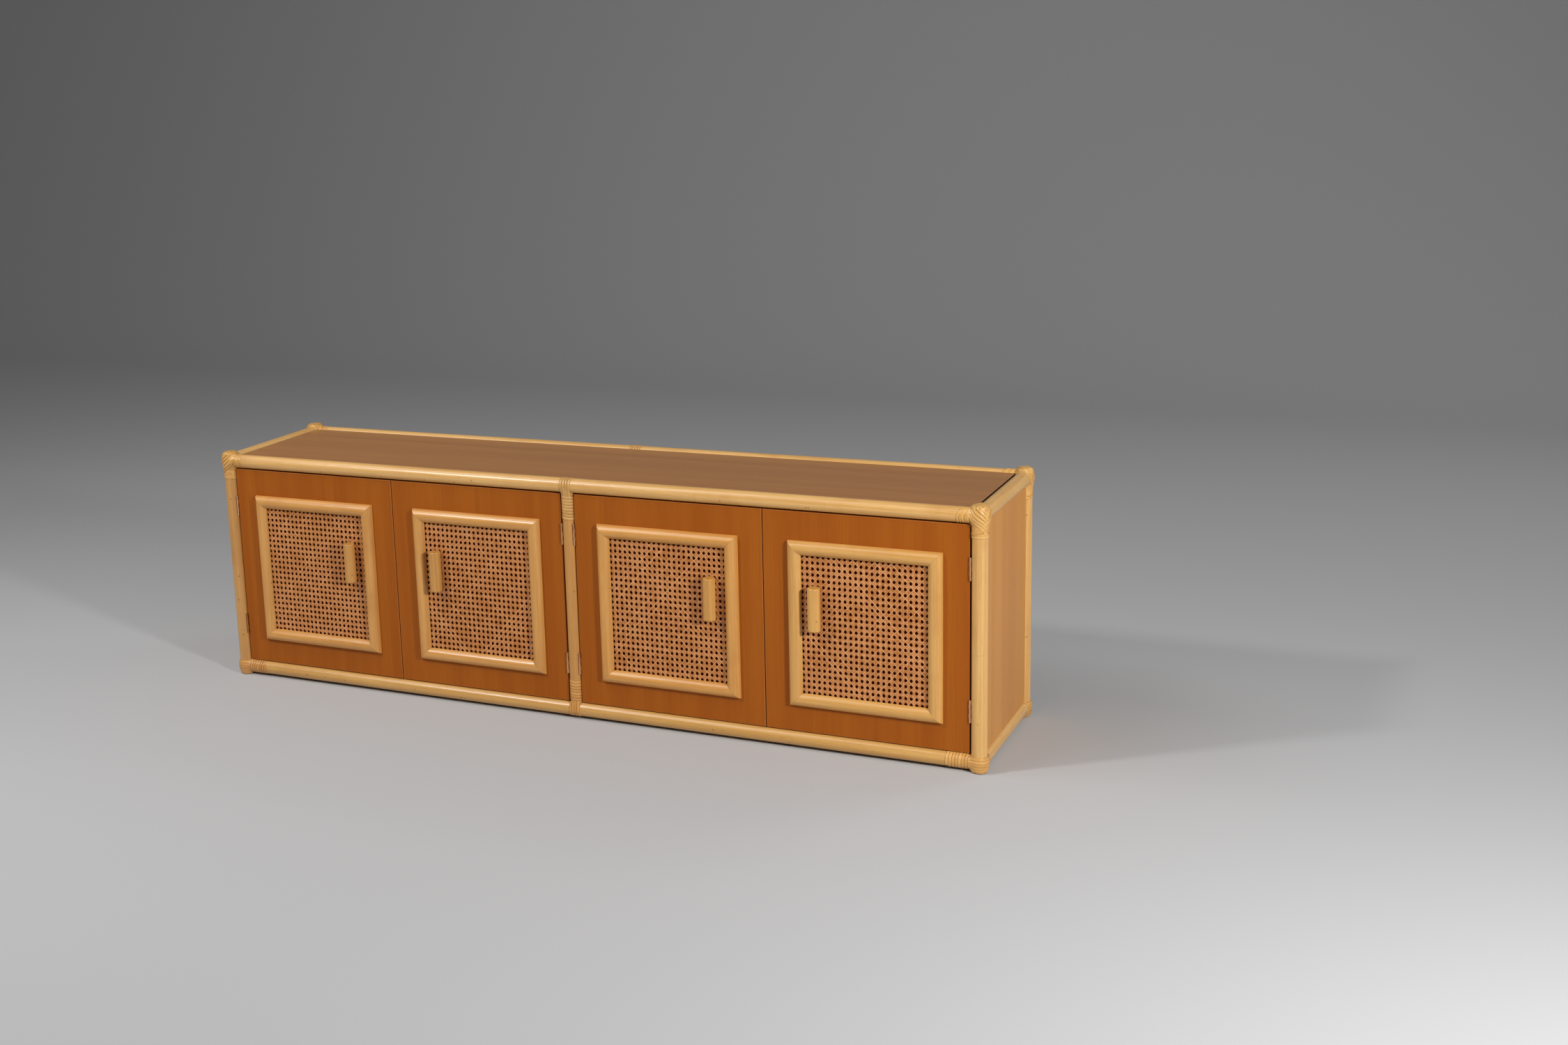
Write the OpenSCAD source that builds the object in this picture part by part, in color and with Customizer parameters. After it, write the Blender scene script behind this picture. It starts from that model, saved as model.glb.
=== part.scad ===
// Low four-door rattan sideboard: a frame of rattan poles lashed with cane strip, veneered
// panels, and doors with applied half-round frames over cane webbing. Millimetres, Z up,
// front towards -Y, origin on the floor under the middle of the whole sideboard.

/* [Frame] */
// Width over the corner posts
frame_w = 2000; // [1400:10:2600]
// Depth over the corner posts
frame_d = 414; // [340:2:600]
// Height over the top and bottom rails
frame_h = 586; // [500:2:900]
// Diameter of the corner posts
post_d = 34.8; // [32:0.2:40]
// Diameter of the rails
rail_d = 34.2; // [30:0.2:36]
// Diameter of the two middle posts
mid_post_d = 29.4; // [26:0.2:33]
// How far the corner posts pass the rails at the top and at the floor
post_out = 4.5; // [3:0.5:8]
// Rounding of the corner posts' ends
post_round = 7; // [3:0.5:8]
// Glue gap between a coped end and the pole that it meets
glue_gap = 0.15; // [0.1:0.05:0.3]

/* [Lashings] */
// Thickness of the woven corner caps
cap_t = 2; // [1.5:0.1:2.4]
// Length of a top cap's arms from the middle of the joint
cap_arm = 48; // [36:1:60]
// Length of a bottom cap's arm on the side rail from the middle of the joint
low_cap_arm = 30; // [26:1:50]
// How far a bottom cap stands up the post above the rail's middle
low_cap_up = 15; // [8:1:17]
// Depth of the flat worn on each bottom cap, which stands on the floor
foot_flat = 0.5; // [0.3:0.1:1]
// Width of the cane strip
strip_w = 6.7; // [5:0.1:7]
// Thickness of the cane strip
strip_t = 0.9; // [0.6:0.1:1.2]
// Gap between neighbouring turns
strip_gap = 0.5; // [0.45:0.05:0.8]
// Clearance under the caps, turns and straps
lash_fit = 0.1; // [0.05:0.05:0.2]
// Clearance cut in the panels round the lashings
lash_room = 0.5; // [0.3:0.1:1]
// Turns on the rail at a top corner
top_turns = 3; // [2:1:6]
// Turns on the rail at a bottom corner, in front
low_turns = 6; // [4:1:10]
// Turns on the rail at a bottom corner, at the back
low_rear_turns = 3; // [2:1:8]
// Turns round a middle post at its upper end
mid_turns = 8; // [5:1:10]
// Turns round a middle post at its lower end
low_mid_turns = 7; // [4:1:10]
// Straps over the rail at each end of a middle post
strap_count = 4; // [3:1:4]
// Rings of corners that draw one turn
turn_rings = 14; // [12:1:24]

/* [Panels] */
// Thickness of the top, bottom and side panels and the partition
panel_t = 18; // [15:0.5:22]
// How far the top panel lies below the rails' tops
top_in = 6; // [3:0.5:9]
// How far the bottom panel lies below the bottom rails' tops
bottom_in = 6; // [3:0.5:9]
// Gap at the left and right edges of the top and bottom panels
panel_edge_gap = 0.7; // [0.3:0.1:0.9]
// How far the side panels lie inside the posts' outer faces
side_in = 10; // [6:0.5:14]
// Thickness of the back panels
back_t = 6; // [4:0.5:9]

/* [Shelves] */
// Thickness of the shelves
shelf_t = 16; // [12:0.5:22]
// Height of the shelves' tops above the bottom panel
shelf_up = 262; // [150:2:320]
// Distance from the doors' backs to the shelves' front edges
shelf_back = 32; // [25:1:80]
// Gap at a shelf's ends and back, and round the posts that it meets
shelf_gap = 0.8; // [0.5:0.1:2]
// Diameter of the shelf pins
pin_d = 5; // [4:0.5:6]
// Length of a shelf pin in its panel, and the same again under the shelf
pin_in = 8; // [6:0.5:8.5]
// Distance of the shelf pins from the shelves' front and back edges
pin_edge = 50; // [30:1:90]

/* [Doors] */
// Thickness of the door panels
door_t = 18; // [16:0.5:20]
// How far the doors' faces lie behind the corner posts' front
door_in = 11.3; // [10:0.1:13]
// Gap between a door and its post
side_gap = 3; // [2.8:0.1:3.6]
// Gap between two doors that meet
meet_gap = 2.5; // [2:0.1:4]
// Gap over the doors
top_gap = 2.8; // [2.2:0.1:6]
// Gap under the doors
bottom_gap = 2.2; // [2:0.1:4]

/* [Door frames] */
// Distance from the door's sides to the applied frame
mould_side = 58.5; // [40:0.5:80]
// Distance from the door's top to the applied frame
mould_over = 66.2; // [40:0.2:80]
// Distance from the door's bottom to the applied frame
mould_under = 60.4; // [40:0.2:80]
// Width of the half-round moulding
mould_w = 33; // [26:0.5:36]
// Height of the half-round moulding
mould_h = 15.5; // [11:0.5:16]
// Thickness of the cane webbing
cane_t = 2.6; // [2:0.1:3]
// How far the webbing runs under the mouldings
cane_lap = 6; // [4:0.5:8]
// Gap round the webbing in its rebate
cane_gap = 0.3; // [0.2:0.1:0.6]

/* [Handles] */
// Diameter of the handle pole
handle_d = 29; // [24:0.5:32]
// Length of the handle
handle_len = 100; // [80:1:140]
// Gap between the handle and the moulding beside it
handle_room = 18.5; // [12:0.5:40]
// Height of the handle's middle above the applied frame's middle
handle_up = 42.8; // [-40:0.4:60]
// Rounding of the handle's sawn ends
handle_round = 2.5; // [1:0.5:5]
// Depth of the flat planed on the handle's back
handle_flat = 0.3; // [0.2:0.1:1]
// Diameter of the handle screws
handle_screw_d = 4; // [3:0.5:5]
// Depth of a handle screw in the handle
handle_screw_in = 20; // [12:1:25]
// Distance between the two handle screws
handle_pitch = 64; // [40:1:90]

/* [Hinges] */
// Height of a hinge
hinge_h = 52; // [40:1:65]
// Distance from the door's top or bottom to the nearer hinge
hinge_in = 71; // [60:1:110]
// Thickness of a hinge leaf
leaf_t = 1.2; // [1:0.1:1.5]
// Reach of a hinge leaf behind the door's face
leaf_reach = 12.4; // [10:0.2:14]
// Radius of the hinge knuckles
knuckle_r = 2.2; // [2:0.1:2.3]
// Radius of the hinge pins
hinge_pin_r = 1.1; // [0.9:0.1:1.3]
// Running clearance of the pin in its knuckles
pin_fit = 0.05; // [0.02:0.01:0.08]
// Distance of the pin in front of the door's face
pin_out = 2.5; // [2.4:0.1:3]
// Number of knuckles in a hinge
knuckles = 5; // [3:2:7]
// Gap between knuckles
knuckle_gap = 0.3; // [0.2:0.05:0.5]

/* [Fasteners and catches] */
// Diameter of the screws that hold the frame
frame_screw_d = 5; // [4:0.5:6]
// Length of the frame screws
frame_screw_len = 80; // [60:1:110]
// Height offset of the two frame screws that cross in a corner post
screw_offset = 6; // [5:0.5:8]
// Diameter of the hinge screws
hinge_screw_d = 2.5; // [2:0.5:3]
// Length of the hinge screws behind the leaf
hinge_screw_len = 12; // [8:1:16]
// Clearance round a screw in its hole
screw_fit = 0.1; // [0.05:0.05:0.2]
// Width of a catch
catch_w = 46; // [30:1:60]
// Depth of a catch
catch_d = 14; // [10:1:20]
// How far a catch reaches below the door's top
catch_drop = 16; // [10:1:30]
// Distance from the door's free edge to the catch's middle
catch_in = 40; // [26:1:80]
// Thickness of the strike plate
strike_t = 1.2; // [0.8:0.1:2]
// Gap between the strike plate and the catch
catch_gap = 0.3; // [0.2:0.1:0.5]

/* [Hidden] */
DOORS = [1, 2, 3, 4];
DOOR_PARTS = ["panel", "frame", "cane", "handle", "fittings"];

$fn = 48;
eps = 0.01;
LEFT = -1;
RIGHT = 1;
FRONT = -1;
REAR = 1;
BOTTOM = -1;
TOP = 1;

// Poles: radii, axes and heights
post_r = post_d / 2;
rail_r = rail_d / 2;
mid_r = mid_post_d / 2;
handle_axis = cane_t + handle_d / 2 - handle_flat;
handle_front = handle_axis + handle_d / 2 - door_in;
frame_y = (handle_front - cap_t) / 2;
front_y = frame_y - frame_d / 2;
post_x = frame_w / 2 - post_r;
post_y = frame_d / 2 - post_r;
post_low = cap_t - foot_flat;
low_rail_z = post_low + post_out + rail_r;
top_rail_z = low_rail_z + frame_h - rail_d;
post_high = top_rail_z + rail_r + post_out;

function rail_z(level) = level == TOP ? top_rail_z : low_rail_z;
function row_y(row) = frame_y + row * post_y;

// Lashings: radii of the turns, whose flats between rings clear the pole
turn_pitch = strip_w + strip_gap;
function turn_in_r(pole_r) = (pole_r + lash_fit) / cos(180 / turn_rings);
function turn_out_r(pole_r) = turn_in_r(pole_r) + strip_t;
cap_r = post_r + cap_t;
rail_cap_r = rail_r + cap_t;
turns_start = cap_r + strip_gap;
strap_in_r = rail_r + lash_fit;
strap_out_r = strap_in_r + strip_t;
straps_w = strap_count * turn_pitch - strip_gap;
mid_turns_start = strap_out_r + strip_gap + 3;

function corner_turns(row, level) =
    level == TOP ? top_turns : row == FRONT ? low_turns : low_rear_turns;
function middle_turns(level) = level == TOP ? mid_turns : low_mid_turns;
function turns_length(turns) = turns * turn_pitch + strip_w;

// Panels
top_z = top_rail_z + rail_r - top_in;
under_top_z = top_z - panel_t;
floor_z = low_rail_z + rail_r - bottom_in;
side_x = post_x + post_r - side_in;
panel_x = post_x - rail_r - panel_edge_gap;
back_y = row_y(REAR) - back_t / 2;

// Doors: widths, heights and the edge where each is hinged
bay_w = post_x - post_r - mid_r;
door_w = (bay_w - 2 * side_gap - meet_gap) / 2;
door_z = low_rail_z + rail_r + bottom_gap;
door_h = top_rail_z - rail_r - top_gap - door_z;
door_y = front_y + door_in;
outer_edge_x = post_x - post_r - side_gap;
inner_edge_x = mid_r + side_gap;

function hinge_x(n) = [-outer_edge_x, -inner_edge_x, inner_edge_x, outer_edge_x][n - 1];
function opens_left(n) = n == 2 || n == 4;

// Applied frame, in the door's own frame
mould_out_w = door_w - 2 * mould_side;
mould_out_h = door_h - mould_over - mould_under;
mould_r = (pow(mould_w / 2, 2) + pow(mould_h, 2)) / (2 * mould_h);
handle_x = door_w - mould_side - mould_w - handle_room - handle_d / 2;
handle_mid_z = mould_under + mould_out_h / 2 + handle_up;

// Shelves
shelf_y0 = door_y + door_t + shelf_back;
shelf_y1 = back_y - shelf_gap;
shelf_z = floor_z + shelf_up - shelf_t;
inner_side_x = side_x - panel_t;
shelf_x0 = panel_t / 2 + shelf_gap;
shelf_x1 = inner_side_x - shelf_gap;

// Hinges and screws, in the door's own frame
hinge_z = [hinge_in, door_h - hinge_in - hinge_h];
knuckle_h = hinge_h / knuckles;
pin_x = -side_gap / 2;
leaf_y0 = -pin_out + knuckle_r + 0.4;
head_h = frame_screw_d * 0.6;
head_r = frame_screw_d * 0.95;
hinge_head_h = leaf_t * 0.8;
strike_r = catch_w / 2 - 4;
catch_y = door_t + strike_t + catch_gap;
catch_foot_y = max(catch_y, post_r + rail_r - door_in + lash_room);
catch_h = under_top_z - door_z - door_h + catch_drop;

// Basic shapes

// A rod on Z from the origin whose ends are rounded
module rounded_rod(r, h, e) {
    rotate_extrude()
        intersection() {
            union() {
                square([r - e, h]);
                translate([0, e]) square([r, h - 2 * e]);
                translate([r - e, e]) circle(e);
                translate([r - e, h - e]) circle(e);
            }
            square([r, h]);
        }
}

module along_x() {
    rotate([0, 90, 0]) children();
}

module along_y() {
    rotate([-90, 0, 0]) children();
}

// Poles, grown where they cut a space in another piece

module post_shape(side, row, grow = 0) {
    translate([side * post_x, row_y(row), post_low - grow])
        rounded_rod(post_r + grow, post_high - post_low + 2 * grow, post_round + grow);
}

module long_rail_shape(row, level, grow = 0) {
    translate([-post_x, row_y(row), rail_z(level)])
        along_x() cylinder(r = rail_r + grow, h = 2 * post_x);
}

module side_rail_shape(side, level, grow = 0) {
    translate([side * post_x, row_y(FRONT), rail_z(level)])
        along_y() cylinder(r = rail_r + grow, h = row_y(REAR) - row_y(FRONT));
}

module mid_post_shape(row, grow = 0) {
    translate([0, row_y(row), low_rail_z])
        cylinder(r = mid_r + grow, h = top_rail_z - low_rail_z);
}

module all_posts(grow) {
    for (side = [LEFT, RIGHT], row = [FRONT, REAR])
        post_shape(side, row, grow);
}

// Frame screws, whose heads sit under the lashings

module frame_screw(grow = 0) {
    cylinder(r = frame_screw_d / 2 + grow, h = frame_screw_len);
    translate([0, 0, -grow]) cylinder(r = head_r + grow, h = head_h + grow);
}

// The two screws of a corner: one into the long rail, one into the side rail
module corner_screws(side, row, level, grow = 0) {
    translate([side * (post_x + post_r - 1), row_y(row), rail_z(level) + screw_offset])
        rotate([0, -90 * side, 0]) frame_screw(grow);
    translate([side * post_x, row_y(row) + row * (post_r - 1), rail_z(level) - screw_offset])
        rotate([90 * row, 0, 0]) frame_screw(grow);
}

module mid_screw(row, level, grow = 0) {
    translate([0, row_y(row), rail_z(level) + level * (rail_r - 1)])
        rotate([level == TOP ? 180 : 0, 0, 0]) frame_screw(grow);
}

// Holes of the screw heads run out through the pole's surface
module corner_screw_holes(side, row, level) {
    corner_screws(side, row, level, screw_fit);
    translate([side * (post_x + post_r - 1), row_y(row), rail_z(level) + screw_offset])
        rotate([0, 90 * side, 0]) cylinder(r = head_r + screw_fit, h = 4);
    translate([side * post_x, row_y(row) + row * (post_r - 1), rail_z(level) - screw_offset])
        rotate([-90 * row, 0, 0]) cylinder(r = head_r + screw_fit, h = 4);
}

module mid_screw_hole(row, level) {
    mid_screw(row, level, screw_fit);
    translate([0, row_y(row), rail_z(level) + level * (rail_r - 1)])
        rotate([level == TOP ? 0 : 180, 0, 0]) cylinder(r = head_r + screw_fit, h = 4);
}

// Posts and rails

module post(side, row) {
    color("burlywood")
        difference() {
            post_shape(side, row);
            for (level = [BOTTOM, TOP])
                corner_screw_holes(side, row, level);
            if (row == FRONT)
                place_door(side == LEFT ? 1 : 4) post_hinge_cuts();
        }
}

module middle_post(row) {
    color("burlywood")
        difference() {
            mid_post_shape(row);
            for (level = [BOTTOM, TOP]) {
                long_rail_shape(row, level, glue_gap);
                mid_screw_hole(row, level);
            }
            if (row == FRONT)
                for (n = [2, 3])
                    place_door(n) post_hinge_cuts();
        }
}

module long_rail(row, level) {
    color("burlywood")
        difference() {
            long_rail_shape(row, level);
            for (side = [LEFT, RIGHT]) {
                post_shape(side, row, glue_gap);
                corner_screw_holes(side, row, level);
            }
            mid_screw_hole(row, level);
        }
}

module side_rail(side, level) {
    color("burlywood")
        difference() {
            side_rail_shape(side, level);
            for (row = [FRONT, REAR]) {
                post_shape(side, row, glue_gap);
                long_rail_shape(row, level, glue_gap);
                corner_screw_holes(side, row, level);
            }
        }
}

// Lashings: turns of flat strip as one tube that winds along Z from the origin

function ring_points(pole_r, angle, rise) = [
    for (corner = [[0, 0], [0, 1], [1, 1], [1, 0]])
        let (r = turn_in_r(pole_r) + corner[0] * strip_t)
            [r * cos(angle), r * sin(angle), rise + corner[1] * strip_w]
];

function turn_points(pole_r, turns) = [
    for (i = [0 : turns * turn_rings])
        each ring_points(pole_r, i * 360 / turn_rings, i * turn_pitch / turn_rings)
];

function turn_faces(turns) = let (last = turns * turn_rings * 4) concat(
    [[0, 1, 2], [0, 2, 3]],
    [for (i = [0 : 4 : last - 4], k = [0 : 3])
        each [
            [i + k, i + 4 + k, i + 4 + (k + 1) % 4],
            [i + k, i + 4 + (k + 1) % 4, i + (k + 1) % 4]
        ]],
    [[last, last + 2, last + 1], [last, last + 3, last + 2]]
);

module turns_on(pole_r, turns) {
    polyhedron(points = turn_points(pole_r, turns), faces = turn_faces(turns));
}

// Least distance between one turn's upper corners and the next turn's lower ones
function least_turn_gap(pole_r) = let (points = turn_points(pole_r, 2)) min([
    for (i = [0 : turn_rings], k = [1, 2], j = [-1, 0, 1], m = [0, 3])
        let (other = (i + turn_rings + j) * 4 + m)
            if (other < len(points)) norm(points[i * 4 + k] - points[other])
]);
echo(str("least gap between turns on a rail: ", least_turn_gap(rail_r)));
echo(str("least gap between turns on a middle post: ", least_turn_gap(mid_r)));

// Corner wraps

module cap_outer(side, row, level) {
    low = level == TOP ? rail_z(TOP) - cap_arm : post_low - cap_t;
    high = level == TOP ? post_high + cap_t : rail_z(BOTTOM) + low_cap_up;
    arm = level == TOP ? cap_arm : low_cap_arm;
    intersection() {
        post_shape(side, row, cap_t);
        translate([side * post_x, row_y(row), low])
            cylinder(r = cap_r + 1, h = high - low);
    }
    translate([side * post_x, row_y(row), rail_z(level)])
        rotate([90 * row, 0, 0]) cylinder(r = rail_cap_r, h = arm);
}

module corner_cap(side, row, level) {
    difference() {
        cap_outer(side, row, level);
        post_shape(side, row, lash_fit);
        long_rail_shape(row, level, lash_fit);
        side_rail_shape(side, level, lash_fit);
        if (level == BOTTOM)
            translate([side * post_x, row_y(row), -cap_t])
                cylinder(r = cap_r + 1, h = cap_t);
    }
}

module corner_wrap(side, row, level) {
    color("wheat") {
        corner_cap(side, row, level);
        translate([side * (post_x - turns_start), row_y(row), rail_z(level)])
            rotate([0, -90 * side, 0]) turns_on(rail_r, corner_turns(row, level));
    }
}

// Middle wraps: straps over the rail, and turns round the post below them

// The strap's outline across the rail, with the rail's middle as its origin
module strap_outline() {
    seat = [mid_r + lash_fit, -(mid_turns_start - strip_gap)];
    reach = norm(seat);
    lean = atan2(seat[1], seat[0]) + acos(strap_in_r / reach);
    across = [cos(lean), sin(lean)];
    along = [-sin(lean), cos(lean)];
    far = 3 * rail_r;
    difference() {
        circle(strap_out_r);
        circle(strap_in_r);
        polygon([
            [0, 0],
            [far * across[0], far * across[1]],
            [far, -far],
            [-far, -far],
            [-far * across[0], far * across[1]]
        ]);
    }
    for (flip = [-1, 1])
        scale([flip, 1])
            polygon([
                strap_in_r * across + 10 * eps * along,
                strap_out_r * across + 10 * eps * along,
                seat + strip_t * across,
                seat
            ]);
}

module straps() {
    for (i = [0 : strap_count - 1])
        translate([i * turn_pitch - straps_w / 2, 0, 0])
            rotate([90, 0, 90]) linear_extrude(height = strip_w) strap_outline();
}

module middle_wrap(row, level) {
    color("wheat")
        translate([0, row_y(row), rail_z(level)])
            rotate([level == TOP ? 0 : 180, 0, 0]) {
                straps();
                translate([0, 0, -mid_turns_start])
                    rotate([180, 0, 0]) turns_on(mid_r, middle_turns(level));
            }
}

// Spaces that the wraps take from the panels

module corner_wrap_space(side, row, level) {
    turns_h = turns_length(corner_turns(row, level)) + 2 * lash_room;
    post_shape(side, row, cap_t + lash_room);
    translate([side * post_x, row_y(row), rail_z(level)]) {
        rotate([90 * row, 0, 0])
            cylinder(r = rail_cap_r + lash_room, h = (level == TOP ? cap_arm : low_cap_arm) + lash_room);
        rotate([0, -90 * side, 0])
            translate([0, 0, turns_start - lash_room])
                cylinder(r = turn_out_r(rail_r) + lash_room, h = turns_h);
    }
}

module mid_wrap_space(row, level) {
    room_w = straps_w + 2 * lash_room;
    turns_h = turns_length(middle_turns(level)) + 2 * lash_room;
    translate([-room_w / 2, row_y(row), rail_z(level)])
        along_x() cylinder(r = strap_out_r + lash_room, h = room_w);
    translate([0, row_y(row), rail_z(level) - level * (mid_turns_start - lash_room)])
        rotate([level == TOP ? 180 : 0, 0, 0])
            cylinder(r = turn_out_r(mid_r) + lash_room, h = turns_h);
    // The straps' slanting legs
    translate([-room_w / 2, row_y(row) - strap_out_r - lash_room, rail_z(level)])
        mirror([0, 0, level == TOP ? 1 : 0])
            cube([room_w, 2 * (strap_out_r + lash_room), mid_turns_start]);
}

module level_wrap_spaces(level) {
    for (row = [FRONT, REAR]) {
        for (side = [LEFT, RIGHT])
            corner_wrap_space(side, row, level);
        mid_wrap_space(row, level);
    }
}

// Panels, coped to the poles

module flat_panel(z, level) {
    color("peru")
        difference() {
            translate([-panel_x, row_y(FRONT), z])
                cube([2 * panel_x, row_y(REAR) - row_y(FRONT), panel_t]);
            for (row = [FRONT, REAR])
                long_rail_shape(row, level, glue_gap);
            level_wrap_spaces(level);
            all_posts(glue_gap);
        }
}

module side_panel(side) {
    color("tan")
        difference() {
            translate([side == LEFT ? -side_x : side_x - panel_t, row_y(FRONT), low_rail_z])
                cube([panel_t, row_y(REAR) - row_y(FRONT), top_rail_z - low_rail_z]);
            for (level = [BOTTOM, TOP]) {
                side_rail_shape(side, level, glue_gap);
                for (row = [FRONT, REAR])
                    side_panel_corner(side, row, level);
            }
            for (row = [FRONT, REAR])
                post_shape(side, row, glue_gap);
            shelf_pin_set(side, screw_fit);
        }
}

// The cap's space at one corner of a side panel
module side_panel_corner(side, row, level) {
    low = level == TOP ? rail_z(TOP) - cap_arm - lash_room : 0;
    high = level == TOP ? post_high : rail_z(BOTTOM) + low_cap_up + lash_room;
    arm = (level == TOP ? cap_arm : low_cap_arm) + lash_room;
    translate([side * post_x, row_y(row), low])
        cylinder(r = cap_r + lash_room, h = high - low);
    translate([side * post_x, row_y(row), rail_z(level)])
        rotate([90 * row, 0, 0]) cylinder(r = rail_cap_r + lash_room, h = arm);
}

module back_panel(side) {
    color("tan")
        difference() {
            translate([side == LEFT ? -post_x : 0, back_y, low_rail_z])
                cube([post_x, back_t, top_rail_z - low_rail_z]);
            post_shape(side, REAR, glue_gap);
            mid_post_shape(REAR, glue_gap);
            for (level = [BOTTOM, TOP]) {
                long_rail_shape(REAR, level, glue_gap);
                corner_back_space(side, level);
                mid_wrap_space(REAR, level);
            }
        }
}

// The corner's cap and turns where they pass a back panel
module corner_back_space(side, level) {
    low = level == TOP ? rail_z(TOP) - cap_arm - lash_room : 0;
    high = level == TOP ? post_high : rail_z(BOTTOM) + low_cap_up + lash_room;
    turns_h = turns_length(corner_turns(REAR, level)) + 2 * lash_room;
    translate([side * post_x, row_y(REAR), low])
        cylinder(r = cap_r + lash_room, h = high - low);
    translate([side * (post_x - turns_start + lash_room), row_y(REAR), rail_z(level)])
        rotate([0, -90 * side, 0])
            cylinder(r = turn_out_r(rail_r) + lash_room, h = turns_h);
}

module partition_panel() {
    color("tan")
        difference() {
            translate([-panel_t / 2, row_y(FRONT), floor_z])
                cube([panel_t, row_y(REAR) - row_y(FRONT), under_top_z - floor_z]);
            for (row = [FRONT, REAR]) {
                mid_post_shape(row, glue_gap);
                for (level = [BOTTOM, TOP]) {
                    long_rail_shape(row, level, glue_gap);
                    mid_wrap_space(row, level);
                }
            }
            for (side = [LEFT, RIGHT])
                shelf_pin_set(side, screw_fit);
        }
}

// Shelves and their pins

module shelf(side) {
    color("peru")
        difference() {
            translate([side == LEFT ? -shelf_x1 : shelf_x0, shelf_y0, shelf_z])
                cube([shelf_x1 - shelf_x0, shelf_y1 - shelf_y0, shelf_t]);
            post_shape(side, REAR, shelf_gap);
            mid_post_shape(REAR, shelf_gap);
        }
}

// The four pins of one shelf
module shelf_pin_set(side, grow = 0) {
    pin_z = shelf_z - pin_d / 2 - 0.05;
    for (y = [shelf_y0 + pin_edge, shelf_y1 - pin_edge]) {
        translate([side * (panel_t / 2 - pin_in), y, pin_z])
            rotate([0, 90 * side, 0]) cylinder(r = pin_d / 2 + grow, h = 2 * pin_in);
        translate([side * (inner_side_x + pin_in), y, pin_z])
            rotate([0, -90 * side, 0]) cylinder(r = pin_d / 2 + grow, h = 2 * pin_in);
    }
}

module shelf_pins() {
    color("darkgoldenrod")
        for (side = [LEFT, RIGHT])
            shelf_pin_set(side);
}

// Places a door drawn with its hinge edge at x = 0, its face at y = 0 and its bottom at z = 0
module place_door(n) {
    translate([hinge_x(n), door_y, door_z])
        mirror([opens_left(n) ? 1 : 0, 0, 0])
            children();
}

// Hinges, in the door's own frame

module at_pins() {
    for (z = hinge_z)
        translate([pin_x, -pin_out, z]) children();
}

module knuckle_set(odd) {
    for (i = [0 : knuckles - 1])
        if (i % 2 == odd)
            translate([0, 0, i * knuckle_h + knuckle_gap / 2])
                cylinder(r = knuckle_r, h = knuckle_h - knuckle_gap);
}

// Tabs that join a leaf lying between x0 and x0 + leaf_t to its knuckles
module tab_set(odd, x0) {
    for (i = [0 : knuckles - 1])
        if (i % 2 == odd)
            translate([x0, -pin_out, i * knuckle_h + knuckle_gap / 2])
                cube([leaf_t, leaf_y0 + pin_out + eps, knuckle_h - knuckle_gap]);
}

module hinge_leaf(odd, x0) {
    difference() {
        union() {
            translate([x0, leaf_y0, 0]) cube([leaf_t, leaf_reach - leaf_y0, hinge_h]);
            tab_set(odd, x0);
            translate([pin_x, -pin_out, 0]) knuckle_set(odd);
        }
        translate([pin_x, -pin_out, -1])
            cylinder(r = hinge_pin_r + pin_fit, h = hinge_h + 2);
    }
}

// Two screws of a leaf: direction 1 points into the door, -1 into the post
module leaf_screws(x, direction, grow = 0) {
    for (z = [hinge_h * 0.25, hinge_h * 0.75])
        translate([x, (leaf_y0 + leaf_reach) / 2 + 0.6, z])
            rotate([0, 90 * direction, 0]) {
                cylinder(r = hinge_screw_d / 2 + grow, h = leaf_t + hinge_screw_len);
                cylinder(r1 = hinge_screw_d + grow, r2 = hinge_screw_d / 2 + grow, h = hinge_head_h);
            }
}

module door_leaves() {
    for (z = hinge_z)
        translate([0, 0, z])
            difference() {
                hinge_leaf(1, 0);
                leaf_screws(-eps, 1, screw_fit);
            }
}

module post_leaves() {
    for (z = hinge_z)
        translate([0, 0, z])
            difference() {
                hinge_leaf(0, -side_gap - leaf_t);
                leaf_screws(-side_gap + eps, -1, screw_fit);
            }
}

// Mortise and screw holes that a post gets for its hinges
module post_hinge_cuts() {
    for (z = hinge_z)
        translate([0, 0, z]) {
            translate([-side_gap - leaf_t, leaf_y0 - 1, 0])
                cube([leaf_t + 1, leaf_reach + 1 - leaf_y0, hinge_h]);
            leaf_screws(-side_gap, -1, screw_fit);
        }
}

module door_hinge_cuts() {
    for (z = hinge_z)
        translate([0, 0, z]) {
            translate([-1, -1, 0]) cube([leaf_t + 1, leaf_reach + 1, hinge_h]);
            leaf_screws(0, 1, screw_fit);
        }
}

// Doors

module handle_screws(grow = 0) {
    for (s = [-1, 1])
        translate([handle_x, door_t, handle_mid_z + s * handle_pitch / 2])
            rotate([90, 0, 0]) {
                cylinder(r = handle_screw_d / 2 + grow, h = door_t + cane_t + handle_screw_in);
                cylinder(r = handle_screw_d + grow, h = handle_screw_d * 0.6);
            }
}

module strike_screw(grow = 0) {
    translate([door_w - catch_in, door_t + strike_t, door_h - catch_drop / 2])
        rotate([90, 0, 0]) cylinder(r = hinge_screw_d / 2 + grow, h = strike_t + hinge_screw_len);
}

module door_panel(n) {
    color("sienna")
        place_door(n)
            difference() {
                cube([door_w, door_t, door_h]);
                door_hinge_cuts();
                handle_screws(screw_fit);
                strike_screw(screw_fit);
            }
}

// One moulding along X, its back on y = 0 and its outer edge on z = 0
module moulding(length) {
    rotate([90, 0, 90])
        linear_extrude(height = length)
            difference() {
                intersection() {
                    translate([mould_r - mould_h, mould_w / 2]) circle(mould_r);
                    translate([-mould_h, 0]) square([mould_h, mould_w]);
                }
                translate([-cane_t, mould_w - cane_lap]) square([cane_t + 1, cane_lap + 1]);
            }
}

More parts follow.
